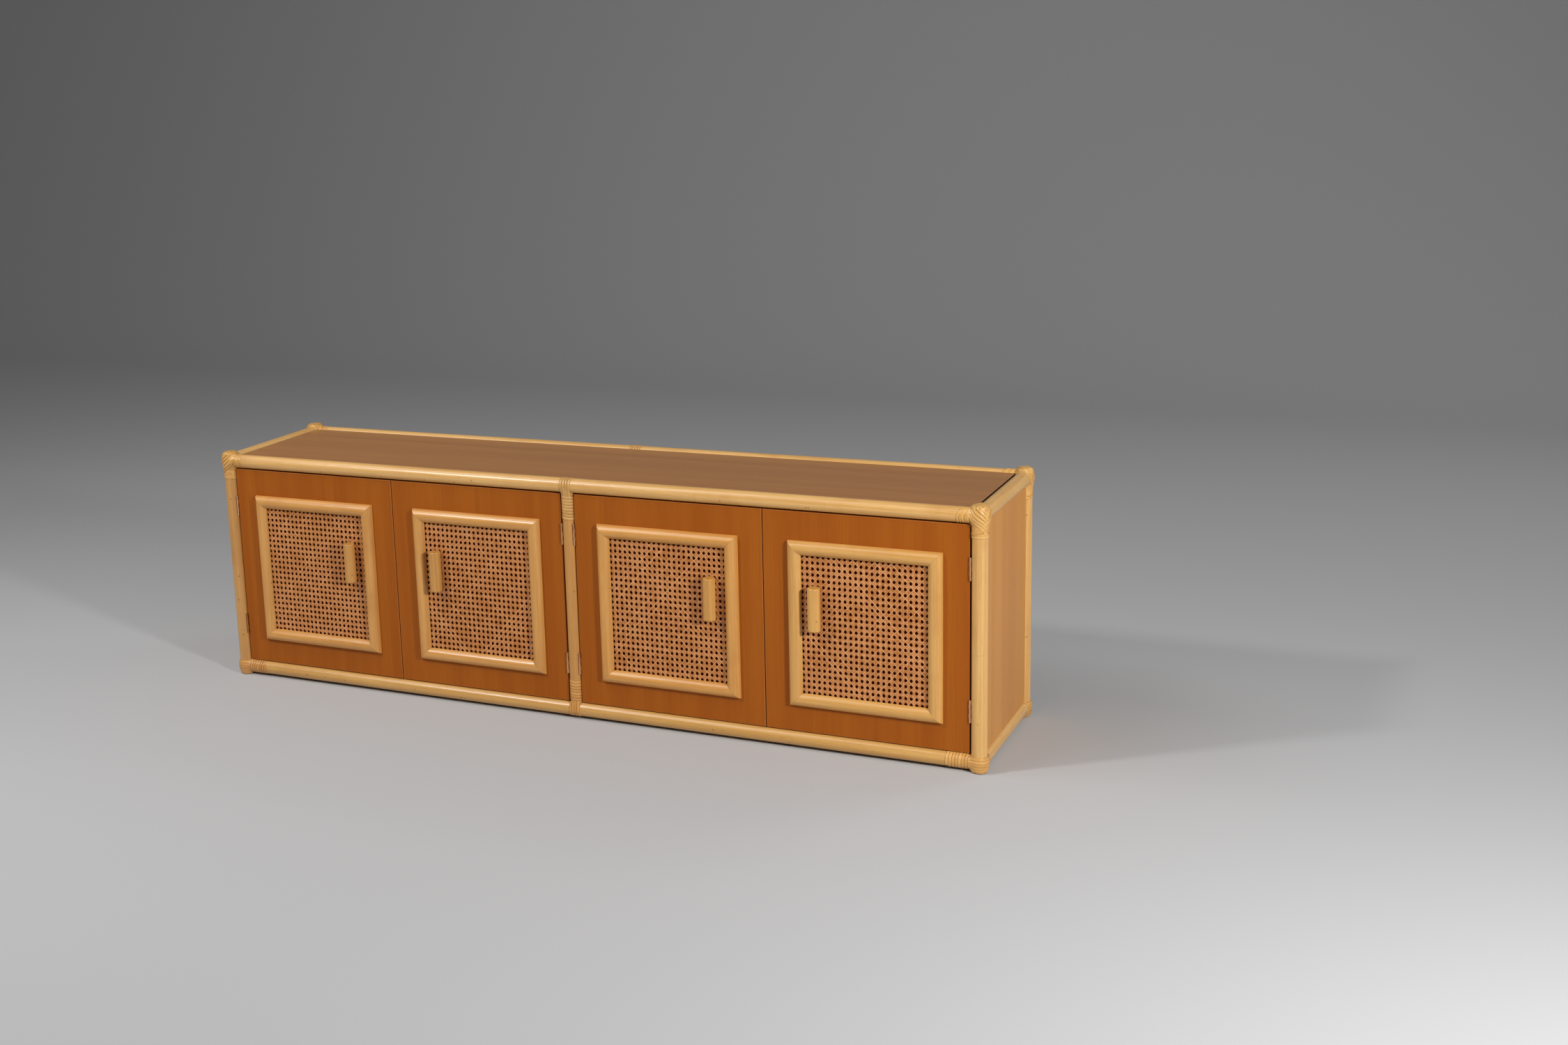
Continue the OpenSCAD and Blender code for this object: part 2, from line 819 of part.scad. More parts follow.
// One side of the mitred frame: length along X, mitred at both ends for the glue
module mitred(length) {
    intersection() {
        moulding(length);
        rotate([90, 0, 0])
            translate([0, 0, -1])
                linear_extrude(height = mould_h + 2)
                    polygon([
                        [glue_gap, 0],
                        [length - glue_gap, 0],
                        [length - glue_gap - mould_w, mould_w],
                        [glue_gap + mould_w, mould_w]
                    ]);
    }
}

module door_frame(n) {
    color("wheat")
        place_door(n)
            translate([mould_side, 0, mould_under]) {
                mitred(mould_out_w);
                translate([0, 0, mould_out_h]) mirror([0, 0, 1]) mitred(mould_out_w);
                translate([0, 0, mould_out_h]) rotate([0, 90, 0]) mitred(mould_out_h);
                translate([mould_out_w, 0, 0]) rotate([0, -90, 0]) mitred(mould_out_h);
            }
}

module door_cane(n) {
    inset = mould_w - cane_lap + cane_gap;
    color("tan")
        place_door(n)
            difference() {
                translate([mould_side + inset, -cane_t + eps, mould_under + inset])
                    cube([mould_out_w - 2 * inset, cane_t - eps, mould_out_h - 2 * inset]);
                handle_screws(screw_fit);
            }
}

module door_handle(n) {
    color("burlywood")
        place_door(n)
            difference() {
                translate([handle_x, -handle_axis, handle_mid_z - handle_len / 2])
                    rounded_rod(handle_d / 2, handle_len, handle_round);
                translate([handle_x - handle_d, -cane_t, handle_mid_z - handle_len])
                    cube([2 * handle_d, handle_d, 2 * handle_len]);
                handle_screws(screw_fit);
            }
}

module strike_plate() {
    difference() {
        translate([door_w - catch_in - strike_r, door_t, door_h - catch_drop])
            cube([2 * strike_r, strike_t, catch_drop - 2]);
        strike_screw(screw_fit);
    }
}

module door_fittings(n) {
    color("goldenrod")
        place_door(n) {
            door_leaves();
            for (z = hinge_z)
                translate([0, 0, z]) leaf_screws(0, 1);
            handle_screws();
            strike_plate();
            strike_screw();
        }
}

// Hardware that stays on the cabinet

module post_hinge_leaves() {
    color("goldenrod")
        for (n = DOORS)
            place_door(n) post_leaves();
}

module hinge_pins() {
    color("darkgoldenrod")
        for (n = DOORS)
            place_door(n) at_pins() cylinder(r = hinge_pin_r, h = hinge_h);
}

// A catch in the door's own frame: its head behind the strike plate hangs under the top
// panel by a foot that stands behind the rail

module catch_screws(grow = 0) {
    for (s = [-1, 1])
        translate([
            door_w - catch_in + s * catch_w / 3,
            (catch_foot_y + catch_y + catch_d) / 2,
            door_h - catch_drop
        ])
            cylinder(r = hinge_screw_d / 2 + grow, h = catch_h + hinge_screw_len);
}

module catch_body() {
    difference() {
        translate([door_w - catch_in - catch_w / 2, catch_y, door_h - catch_drop])
            cube([catch_w, catch_d, catch_h]);
        translate([door_w - catch_in - catch_w, 0, door_h + top_gap - lash_room])
            cube([2 * catch_w, catch_foot_y, catch_h]);
        catch_screws(screw_fit);
    }
}

module magnetic_catches() {
    color("saddlebrown")
        for (n = DOORS)
            place_door(n) catch_body();
}

module fixing_screws() {
    color("silver") {
        for (row = [FRONT, REAR], level = [BOTTOM, TOP]) {
            for (side = [LEFT, RIGHT])
                corner_screws(side, row, level);
            mid_screw(row, level);
        }
        for (n = DOORS)
            place_door(n) {
                catch_screws();
                for (z = hinge_z)
                    translate([0, 0, z]) leaf_screws(-side_gap, -1);
            }
    }
}

module top_panel() {
    difference() {
        flat_panel(under_top_z, TOP);
        for (n = DOORS)
            place_door(n) catch_screws(screw_fit);
    }
}

post(LEFT, FRONT);  // front_left_post
post(RIGHT, FRONT);  // front_right_post
post(LEFT, REAR);  // rear_left_post
post(RIGHT, REAR);  // rear_right_post
middle_post(FRONT);  // front_middle_post
middle_post(REAR);  // rear_middle_post
long_rail(FRONT, TOP);  // front_top_rail
long_rail(FRONT, BOTTOM);  // front_bottom_rail
long_rail(REAR, TOP);  // rear_top_rail
long_rail(REAR, BOTTOM);  // rear_bottom_rail
side_rail(LEFT, TOP);  // left_top_rail
side_rail(LEFT, BOTTOM);  // left_bottom_rail
side_rail(RIGHT, TOP);  // right_top_rail
side_rail(RIGHT, BOTTOM);  // right_bottom_rail
corner_wrap(LEFT, FRONT, TOP);  // front_left_top_wrap
corner_wrap(RIGHT, FRONT, TOP);  // front_right_top_wrap
corner_wrap(LEFT, REAR, TOP);  // rear_left_top_wrap
corner_wrap(RIGHT, REAR, TOP);  // rear_right_top_wrap
corner_wrap(LEFT, FRONT, BOTTOM);  // front_left_bottom_wrap
corner_wrap(RIGHT, FRONT, BOTTOM);  // front_right_bottom_wrap
corner_wrap(LEFT, REAR, BOTTOM);  // rear_left_bottom_wrap
corner_wrap(RIGHT, REAR, BOTTOM);  // rear_right_bottom_wrap
middle_wrap(FRONT, TOP);  // front_middle_top_wrap
middle_wrap(FRONT, BOTTOM);  // front_middle_bottom_wrap
middle_wrap(REAR, TOP);  // rear_middle_top_wrap
middle_wrap(REAR, BOTTOM);  // rear_middle_bottom_wrap
top_panel();
flat_panel(floor_z - panel_t, BOTTOM);  // bottom_panel
side_panel(LEFT);  // left_side_panel
side_panel(RIGHT);  // right_side_panel
back_panel(LEFT);  // left_back_panel
back_panel(RIGHT);  // right_back_panel
partition_panel();  // partition
shelf(LEFT);  // left_shelf
shelf(RIGHT);  // right_shelf
shelf_pins();
magnetic_catches();
post_hinge_leaves();
hinge_pins();
fixing_screws();
for (n = DOORS) {
    door_panel(n);
    door_frame(n);
    door_cane(n);
    door_handle(n);
    door_fittings(n);
}
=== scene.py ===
"""Looks of the lashed rattan sideboard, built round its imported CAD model.

Poles, flat panels, hinges, shelves and catches are the CAD solids with procedural finishes. The lashings,
the door panels, the half-round mouldings and the cane webbing are made here in full detail and stand for
their solids.
"""

import logging
import math
from collections.abc import Callable
from dataclasses import dataclass, field, replace
from enum import Enum

import bmesh
import bpy
import numpy as np
from mathutils import Matrix, Vector

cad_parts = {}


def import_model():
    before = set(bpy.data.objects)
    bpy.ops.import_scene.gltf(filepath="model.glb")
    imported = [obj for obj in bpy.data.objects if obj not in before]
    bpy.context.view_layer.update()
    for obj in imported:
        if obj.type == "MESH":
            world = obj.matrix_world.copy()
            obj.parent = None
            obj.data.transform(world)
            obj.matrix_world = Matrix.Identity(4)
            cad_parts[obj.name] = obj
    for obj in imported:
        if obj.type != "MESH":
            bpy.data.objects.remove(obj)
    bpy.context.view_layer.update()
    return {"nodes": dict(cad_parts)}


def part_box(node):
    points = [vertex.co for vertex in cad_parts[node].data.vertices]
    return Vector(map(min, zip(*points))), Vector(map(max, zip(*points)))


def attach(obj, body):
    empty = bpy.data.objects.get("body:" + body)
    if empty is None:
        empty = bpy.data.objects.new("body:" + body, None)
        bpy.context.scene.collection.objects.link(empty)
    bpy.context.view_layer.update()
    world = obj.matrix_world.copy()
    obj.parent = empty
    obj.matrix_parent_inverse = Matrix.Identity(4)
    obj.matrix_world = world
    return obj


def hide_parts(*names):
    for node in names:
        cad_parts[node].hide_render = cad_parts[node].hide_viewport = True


LOG = logging.getLogger("sideboard")
MM = 0.001
LAY = "lay"  # attribute of swept pieces: across the strip, a seed, and along it, in metres
FACING = "facing"  # attribute of a laid path: the way that the strip's face looks
TONE = "tone"  # attribute of a laid path: the strip's tone, from 0 to 1
POLE_R = 17 * MM  # about a pole's radius, for marks that go round it
TURN_LIFT = 0.1 * MM  # how far wound turns lie off their pole
PLAIN = (1.0, 1.0, 1.0, 1.0)  # a painted shade that changes nothing
NO_JOINTS = 1000.0  # a distance between joints that leaves none on a piece

Colour = tuple[float, float, float, float]
Waypoint = tuple[float, float, float, float]  # a, b and c in a corner's frame and how high the strip lies, in mm
Setting = float | int | bool | str | tuple | bpy.types.NodeSocket | bpy.types.ID


class Grain(Enum):
    """The row axis that a piece's fibres run along, with the turn that brings it to Z."""

    X = (0.0, -math.pi / 2, 0.0)
    Y = (math.pi / 2, 0.0, 0.0)
    Z = (0.0, 0.0, 0.0)


class Level(Enum):
    """The two levels of rails, as the way that a post's free end points."""

    TOP = 1
    BOTTOM = -1


class Row(Enum):
    """The two rows of posts, as the way that their outer side faces along Y."""

    FRONT = -1
    REAR = 1


class Side(Enum):
    """The two ends of the sideboard, as the way that their outer side faces along X."""

    LEFT = -1
    RIGHT = 1


def srgb(red: int, green: int, blue: int) -> Colour:
    """Turns a colour as seen on a screen into the linear one that shaders take.

    Args:
        red: Red from 0 to 255.
        green: Green from 0 to 255.
        blue: Blue from 0 to 255.

    Returns:
        The linear colour with full alpha.
    """
    return (*(pow(channel / 255, 2.2) for channel in (red, green, blue)), 1.0)


@dataclass
class Graph:
    """One node tree that is being filled."""

    tree: bpy.types.NodeTree

    def node(self, kind: str, sockets: dict | None = None, **settings: object) -> bpy.types.Node:
        """Adds a node, sets it up and links its inputs.

        Args:
            kind: Blender's name of the node's type.
            sockets: Input names or numbers, each with a value or the output that feeds it.
            **settings: The node's own properties.

        Returns:
            The new node.
        """
        node = self.tree.nodes.new(kind)
        for name, value in settings.items():
            setattr(node, name, value)
        for key, value in (sockets or {}).items():
            if isinstance(value, bpy.types.NodeSocket):
                self.tree.links.new(value, node.inputs[key])
            else:
                node.inputs[key].default_value = value
        return node

    def out(self, kind: str, sockets: dict | None = None, **settings: object) -> bpy.types.NodeSocket:
        """Adds a node in the same way and returns its first output."""
        return self.node(kind, sockets, **settings).outputs[0]

    def give(self, node: bpy.types.Node, values: dict) -> bpy.types.NodeTree:
        """Links values to a node's inputs by name and returns the tree.

        Args:
            node: The node.
            values: The output that feeds each input.

        Returns:
            The tree.
        """
        for label, value in values.items():
            self.tree.links.new(value, node.inputs[label])
        return self.tree

    def group(self, tree: bpy.types.NodeTree, sockets: dict) -> bpy.types.Node:
        """Places a shader group and sets its inputs."""
        return self.node("ShaderNodeGroup", sockets, node_tree=tree)

    def math(self, operation: str, *values: Setting) -> bpy.types.NodeSocket:
        """Adds a Math node and returns its output."""
        return self.out("ShaderNodeMath", dict(enumerate(values)), operation=operation)

    def vector(self, operation: str, *values: Setting) -> bpy.types.NodeSocket:
        """Adds a Vector Math node and returns its vector output."""
        return self.out("ShaderNodeVectorMath", dict(enumerate(values)), operation=operation)

    def combine(self, x: Setting = 0.0, y: Setting = 0.0, z: Setting = 0.0) -> bpy.types.NodeSocket:
        """Joins three numbers into a vector."""
        return self.out("ShaderNodeCombineXYZ", {0: x, 1: y, 2: z})

    def parts(self, vector: Setting) -> list[bpy.types.NodeSocket]:
        """Splits a vector into its three numbers."""
        return list(self.node("ShaderNodeSeparateXYZ", {0: vector}).outputs)

    def read(self, name: str, kind: str = "FLOAT") -> bpy.types.NodeSocket:
        """Reads an attribute of the geometry by its name."""
        return self.out("GeometryNodeInputNamedAttribute", {"Name": name}, data_type=kind)

    def draw(self, which: Setting, seed: Setting) -> bpy.types.NodeSocket:
        """Draws a number from 0 to 1 for each item."""
        return self.node("FunctionNodeRandomValue", {"ID": which, "Seed": seed}, data_type="FLOAT").outputs[1]

    def from_middle(self, index: Setting, count: Setting) -> bpy.types.NodeSocket:
        """Counts from the middle of a row of items."""
        middle = self.math("MULTIPLY", self.math("SUBTRACT", count, 1.0), 0.5)
        return self.math("SUBTRACT", index, middle)

    def store(self, geometry: Setting, name: str, value: Setting, kind: str = "FLOAT") -> bpy.types.NodeSocket:
        """Stores a named attribute on the points of the geometry."""
        sockets = {0: geometry, "Name": name, "Value": value}
        return self.out("GeometryNodeStoreNamedAttribute", sockets, data_type=kind, domain="POINT")

    def blend(self, factor: Setting, first: Setting, second: Setting, how: str = "MIX") -> bpy.types.NodeSocket:
        """Adds a colour mix.

        Args:
            factor: Share of the second colour.
            first: Colour at factor 0.
            second: Colour at factor 1.
            how: The blend type.

        Returns:
            The mixed colour.
        """
        mix = self.node("ShaderNodeMix", {0: factor, 6: first, 7: second}, data_type="RGBA", blend_type=how)
        return mix.outputs[2]

    def span(self, value: Setting, low: Setting, high: Setting, start: float = 0.0,
             end: float = 1.0) -> bpy.types.NodeSocket:
        """Maps a value smoothly from one range to another.

        Args:
            value: The value to map.
            low: Where the range starts.
            high: Where the range ends.
            start: The result at and below low.
            end: The result at and above high.

        Returns:
            The mapped value.
        """
        sockets = {0: value, 1: low, 2: high, 3: start, 4: end}
        return self.out("ShaderNodeMapRange", sockets, interpolation_type="SMOOTHSTEP")

    def noise(self, vector: Setting, scale: Setting, detail: float = 2.0, rough: float = 0.5) -> bpy.types.NodeSocket:
        """Adds a noise texture.

        Args:
            vector: Where it is read.
            scale: Its scale.
            detail: Its octaves.
            rough: How strong the finer octaves are.

        Returns:
            A value from 0 to 1.
        """
        sockets = {"Vector": vector, "Scale": scale, "Detail": detail, "Roughness": rough}
        return self.out("ShaderNodeTexNoise", sockets)


def group_tree(name: str, inputs: dict, outputs: list[str],
               kind: str = "ShaderNodeTree") -> tuple[Graph, dict, bpy.types.Node]:
    """Starts a node group with named sockets.

    Args:
        name: The group's name.
        inputs: By name, a number that the input starts with, or its kind of socket as a word.
        outputs: Names of the outputs: numbers for a shader group, otherwise geometry.
        kind: ShaderNodeTree or GeometryNodeTree.

    Returns:
        The graph to fill, its inputs by name, and its output node.
    """
    tree = bpy.data.node_groups.new(name, kind)
    for label, start in inputs.items():
        word = start if isinstance(start, str) else {float: "Float", int: "Int"}[type(start)]
        socket = tree.interface.new_socket(name=label, in_out="INPUT", socket_type=f"NodeSocket{word}")
        if not isinstance(start, str):
            socket.default_value = start
    result = "NodeSocketFloat" if kind == "ShaderNodeTree" else "NodeSocketGeometry"
    for label in outputs:
        tree.interface.new_socket(name=label, in_out="OUTPUT", socket_type=result)
    graph = Graph(tree)
    source = graph.node("NodeGroupInput")
    return graph, {label: source.outputs[label] for label in inputs}, graph.node("NodeGroupOutput")


# Effects that several finishes share, as shader groups


def lengthwise_grain() -> bpy.types.NodeTree:
    """Builds the group that draws fibres along Z: fine streaks, broad bands and cloudy patches.

    Returns:
        The shader group.
    """
    inputs = {"Vector": "Vector", "Fine": 900.0, "Broad": 40.0, "Stretch": 0.02, "Cloud Scale": 6.0, "Seed": 0.0}
    graph, given, out = group_tree("lengthwise_grain", inputs, ["Streak", "Band", "Cloud", "Height"])
    moved = graph.vector("ADD", given["Vector"], graph.combine(given["Seed"], given["Seed"], given["Seed"]))
    drawn = graph.vector("MULTIPLY", moved, graph.combine(1.0, 1.0, given["Stretch"]))
    streak = graph.noise(drawn, given["Fine"], 3.0, 0.6)
    band = graph.noise(drawn, given["Broad"], 3.0, 0.55)
    cloud = graph.noise(moved, given["Cloud Scale"], 3.0, 0.6)
    height = graph.math("MULTIPLY_ADD", streak, 0.7, graph.math("MULTIPLY", band, 0.3))
    return graph.give(out, {"Streak": streak, "Band": band, "Cloud": cloud, "Height": height})


def pole_marks() -> bpy.types.NodeTree:
    """Builds the group that draws a pole's small brown knots and the faint rings of its joints along Z.

    Returns:
        The shader group.
    """
    inputs = {"Vector": "Vector", "Around": 0.0, "Knot Spacing": 0.055, "Knot Size": 0.058, "Knots Left Out": 0.72,
              "Ring Spacing": 0.31, "Ring Width": 2 * MM, "Ring Wander": 6 * MM, "Seed": 0.0}
    graph, given, out = group_tree("pole_marks", inputs, ["Knot", "Ring", "Height"])
    moved = graph.vector("ADD", given["Vector"], graph.combine(given["Seed"], given["Seed"], given["Seed"]))
    along = graph.parts(moved)[2]
    unrolled = graph.combine(given["Around"], along)
    density = graph.math("DIVIDE", 1.0, given["Knot Spacing"])
    cells = graph.node("ShaderNodeTexVoronoi", {"Vector": unrolled, "Scale": density}, voronoi_dimensions="2D")
    draw = graph.out("ShaderNodeSeparateColor", {0: cells.outputs["Color"]})
    chosen = graph.math("GREATER_THAN", draw, given["Knots Left Out"])
    knot = graph.math("MULTIPLY", chosen, graph.span(cells.outputs["Distance"], 0.0, given["Knot Size"], 1.0, 0.0))
    wander = graph.math("MULTIPLY", graph.noise(moved, 22.0, 1.0), given["Ring Wander"])
    turn = graph.math("FRACT", graph.math("DIVIDE", graph.math("ADD", along, wander), given["Ring Spacing"]))
    off = graph.math("ABSOLUTE", graph.math("SUBTRACT", turn, 0.5))
    line = graph.span(graph.math("MULTIPLY", off, given["Ring Spacing"]), 0.0, given["Ring Width"], 1.0, 0.0)
    ring = graph.math("MULTIPLY", line, graph.span(graph.noise(moved, 34.0, 2.0), 0.4, 0.62))
    height = graph.math("SUBTRACT", graph.math("MULTIPLY", ring, 0.3), graph.math("MULTIPLY", knot, 0.6))
    return graph.give(out, {"Knot": knot, "Ring": ring, "Height": height})


def lacquer_film() -> bpy.types.NodeTree:
    """Builds the group for the small unevenness of a brushed lacquer.

    Returns:
        The shader group.
    """
    inputs = {"Vector": "Vector", "Roughness": 0.35, "Change": 0.1}
    graph, given, out = group_tree("lacquer_film", inputs, ["Roughness"])
    patch = graph.noise(given["Vector"], 28.0, 3.0, 0.6)
    fine = graph.noise(given["Vector"], 420.0, 2.0, 0.5)
    both = graph.math("MULTIPLY_ADD", patch, 0.7, graph.math("MULTIPLY", fine, 0.3))
    centred = graph.math("SUBTRACT", both, 0.5)
    return graph.give(out, {"Roughness": graph.math("MULTIPLY_ADD", centred, given["Change"], given["Roughness"])})


@dataclass
class Effects:
    """The shader groups, built once."""

    grain: bpy.types.NodeTree = field(default_factory=lengthwise_grain)
    marks: bpy.types.NodeTree = field(default_factory=pole_marks)
    film: bpy.types.NodeTree = field(default_factory=lacquer_film)


# Finishes


@dataclass(frozen=True)
class Finish:
    """What all finishes have: a name, and the ways to start and to end their material."""

    name: str

    def start(self, roughness: float, coat: float = 0.0, metallic: float = 0.0,
              specular: float = 0.5) -> tuple[bpy.types.Material, Graph, bpy.types.Node]:
        """Starts a material with its shader.

        Args:
            roughness: The shader's own roughness.
            coat: The weight of its clear coat.
            metallic: 1 for bare metal.
            specular: How strongly it reflects.

        Returns:
            The material, its graph and its Principled shader.
        """
        material = bpy.data.materials.new(self.name)
        material.use_nodes = True
        material.node_tree.nodes.clear()
        graph = Graph(material.node_tree)
        shader = graph.node(
            "ShaderNodeBsdfPrincipled",
            {"Roughness": roughness, "Coat Weight": coat, "Coat Roughness": 0.22, "Metallic": metallic,
             "Specular IOR Level": specular},
        )
        graph.node("ShaderNodeOutputMaterial", {"Surface": shader.outputs[0]})
        return material, graph, shader

    def end(self, graph: Graph, shader: bpy.types.Node, colour: Setting, film: bpy.types.Node, height: Setting,
            depth: float) -> None:
        """Feeds the shader.

        Args:
            graph: The material's graph.
            shader: Its shader.
            colour: Its colour.
            film: The lacquer film that gives its roughness.
            height: How high its surface stands.
            depth: How deep the heights from 0 to 1 are, in metres.
        """
        bump = graph.out("ShaderNodeBump", {"Strength": 1.0, "Distance": depth, "Height": height})
        graph.give(shader, {"Base Color": colour, "Roughness": film.outputs["Roughness"], "Normal": bump})


@dataclass(frozen=True)
class PoleFinish(Finish):
    """Satin lacquered rattan: golden, streaked lengthwise, with small brown knots, darkened by a painted shade.

    The faint rings of its joints lie joints_apart from one another. An upright piece is sawn off at its ends.
    """

    effects: Effects
    grain: Grain | None
    seed: float = 0.0
    pale: Colour = srgb(226, 178, 110)
    golden: Colour = srgb(209, 157, 88)
    tan: Colour = srgb(184, 126, 64)
    knot: Colour = srgb(112, 64, 28)
    # painted shade: multiplies the colour for how little light falls on the piece
    painted_shade: Colour = PLAIN
    centre: tuple[float, float, float] = (0.0, 0.0, 0.0)
    joints_apart: float = 0.31
    ends: tuple[float, float] | None = None
    end_depth: float = 1.6 * MM

    def material(self) -> bpy.types.Material:
        """Builds the material.

        Returns:
            The rattan, read on Object coordinates turned to the pole, or on the lay attribute if grain is None.
        """
        material, graph, shader = self.start(roughness=0.3, coat=0.3)
        place = graph.node("ShaderNodeTexCoord").outputs["Object"]
        if self.grain is None:
            vector = graph.node("ShaderNodeAttribute", attribute_name=LAY).outputs["Vector"]
            around = graph.parts(vector)[0]
        else:
            middle = graph.vector("SUBTRACT", place, self.centre)
            vector = graph.out("ShaderNodeMapping", {"Vector": middle, "Rotation": self.grain.value})
            x, y, _ = graph.parts(vector)
            around = graph.math("MULTIPLY", graph.math("ARCTAN2", x, y), POLE_R)
        streaks = {"Vector": vector, "Fine": 1300.0, "Broad": 130.0, "Stretch": 0.022, "Seed": self.seed}
        grain = graph.group(self.effects.grain, streaks)
        joints = {"Vector": vector, "Around": around, "Seed": self.seed, "Ring Spacing": self.joints_apart}
        marks = graph.group(self.effects.marks, joints)
        film = graph.group(self.effects.film, {"Vector": vector, "Roughness": 0.33, "Change": 0.16})
        tone = graph.span(grain.outputs["Band"], 0.28, 0.72)
        colour = graph.blend(tone, self.golden, self.pale)
        colour = graph.blend(graph.span(grain.outputs["Cloud"], 0.5, 0.8, 0.0, 0.45), colour, self.tan)
        colour = graph.blend(graph.span(grain.outputs["Streak"], 0.5, 0.78, 0.0, 0.55), colour, self.tan)
        colour = graph.blend(graph.span(grain.outputs["Streak"], 0.2, 0.42, 0.35, 0.0), colour, self.pale)
        for mark, strength in (("Ring", 0.15), ("Knot", 0.8)):
            colour = graph.blend(graph.math("MULTIPLY", marks.outputs[mark], strength), colour, self.knot)
        height = graph.math("MULTIPLY_ADD", marks.outputs["Height"], 0.7, grain.outputs["Height"])
        height = graph.math("MULTIPLY_ADD", graph.noise(vector, 24.0, 1.0), 3.0, height)
        if self.ends is not None:
            colour, height = self.sawn_ends(graph, place, colour, height)
        # the painted shade darkens the colour where less light falls on the piece
        self.end(graph, shader, graph.blend(1.0, colour, self.painted_shade, "MULTIPLY"), film, height, 0.22 * MM)
        return material

    def sawn_ends(self, graph: Graph, place: Setting, colour: Setting, height: Setting) -> tuple[Setting, Setting]:
        """Draws open pores on the sawn ends of an upright piece.

        Args:
            graph: The material's graph.
            place: Object coordinates.
            colour: The colour so far.
            height: The height so far.

        Returns:
            The colour and the height with the ends added.
        """
        up = graph.parts(place)[2]
        low = graph.span(up, self.ends[0], self.ends[0] + self.end_depth, 1.0, 0.0)
        high = graph.span(up, self.ends[1] - self.end_depth, self.ends[1])
        end = graph.math("MAXIMUM", low, high)
        pores = graph.node("ShaderNodeTexVoronoi", {"Vector": place, "Scale": 900.0}).outputs["Distance"]
        dot = graph.span(pores, 0.15, 0.4, 1.0, 0.0)
        darker = graph.math("MULTIPLY", graph.math("MULTIPLY", dot, end), -1.0)
        return graph.blend(end, colour, graph.blend(dot, self.golden, self.tan)), graph.math("ADD", height, darker)


@dataclass(frozen=True)
class StripFinish(Finish):
    """Cane strip, lacquered: fine fibres along it, each strip of its own tone, with painted shade at its edges and a
    painted shade over it all.
    """

    effects: Effects
    pale: Colour = srgb(229, 179, 104)
    golden: Colour = srgb(208, 154, 81)
    dark: Colour = srgb(158, 102, 47)
    # painted shade: multiplies the colour for how little light falls on the lashing
    painted_shade: Colour = PLAIN
    half_width: float = 3.4 * MM
    # how dark the painted shade at the strip's edges is
    edge: float = 0.35
    roughness: float = 0.33

    def material(self) -> bpy.types.Material:
        """Builds the material.

        Returns:
            The strip, read on the lay attribute.
        """
        material, graph, shader = self.start(self.roughness, coat=0.2)
        lay = graph.node("ShaderNodeAttribute", attribute_name=LAY).outputs["Vector"]
        across, tint, _ = graph.parts(lay)
        fibres = graph.vector("MULTIPLY", lay, (1.0, 17.0, 1.0))
        streaks = {"Vector": fibres, "Fine": 1700.0, "Broad": 420.0, "Stretch": 0.03, "Seed": 3.0}
        grain = graph.group(self.effects.grain, streaks)
        film = graph.group(self.effects.film, {"Vector": lay, "Roughness": self.roughness, "Change": 0.14})
        colour = graph.blend(tint, self.golden, self.pale)
        colour = graph.blend(graph.span(grain.outputs["Streak"], 0.5, 0.78, 0.0, 0.45), colour, self.dark)
        colour = graph.blend(graph.span(grain.outputs["Cloud"], 0.5, 0.75, 0.0, 0.35), colour, self.golden)
        # painted shade in the grooves between strips: each strip darkens towards its edges
        share = graph.math("DIVIDE", graph.math("ABSOLUTE", across), self.half_width)
        colour = graph.blend(graph.span(share, 0.72, 1.0, 0.0, self.edge), colour, self.dark)
        # the lashing's painted shade for how much light falls on it
        colour = graph.blend(1.0, colour, self.painted_shade, "MULTIPLY")
        self.end(graph, shader, colour, film, grain.outputs["Height"], 0.15 * MM)
        return material


@dataclass(frozen=True)
class VeneerFinish(Finish):
    """Straight-grained veneer under a satin lacquer, its ends beyond a given |x| painted dark as the shade in the gaps
    beside the rails, if that isn't 0.
    """

    effects: Effects
    grain: Grain
    light: Colour
    middle: Colour
    dark: Colour
    seed: float = 0.0
    roughness: float = 0.38
    coat: float = 0.15
    specular: float = 0.5
    streaks: float = 0.45
    # where the painted shade of the gaps beside the rails begins, along |x|
    painted_gap_shade: float = 0.0

    def material(self) -> bpy.types.Material:
        """Builds the material.

        Returns:
            The veneer, read on Object coordinates turned to its grain.
        """
        material, graph, shader = self.start(self.roughness, coat=self.coat, specular=self.specular)
        place = graph.node("ShaderNodeTexCoord").outputs["Object"]
        vector = graph.out("ShaderNodeMapping", {"Vector": place, "Rotation": self.grain.value})
        streaks = {"Vector": vector, "Fine": 520.0, "Broad": 24.0, "Stretch": 0.012, "Seed": self.seed}
        grain = graph.group(self.effects.grain, streaks)
        flecks = graph.noise(graph.vector("MULTIPLY", vector, (1.0, 1.0, 0.07)), 1500.0, 1.0)
        film = graph.group(self.effects.film, {"Vector": vector, "Roughness": self.roughness, "Change": 0.1})
        colour = graph.blend(graph.span(grain.outputs["Band"], 0.3, 0.7), self.middle, self.light)
        colour = graph.blend(graph.span(grain.outputs["Streak"], 0.42, 0.72, 0.0, self.streaks), colour, self.dark)
        colour = graph.blend(graph.span(flecks, 0.62, 0.78, 0.0, 0.3), colour, self.dark)
        colour = graph.blend(graph.span(grain.outputs["Cloud"], 0.4, 0.7, 0.0, 0.25), colour, self.middle)
        # painted shade: the panel's ends are painted dark for the shadowed gap between them and the side rails
        if self.painted_gap_shade:
            beyond = graph.math("GREATER_THAN", graph.math("ABSOLUTE", graph.parts(place)[0]), self.painted_gap_shade)
            colour = graph.blend(beyond, colour, srgb(46, 24, 12))
        height = graph.math("MULTIPLY_ADD", flecks, -0.5, grain.outputs["Height"])
        self.end(graph, shader, colour, film, height, 0.08 * MM)
        return material


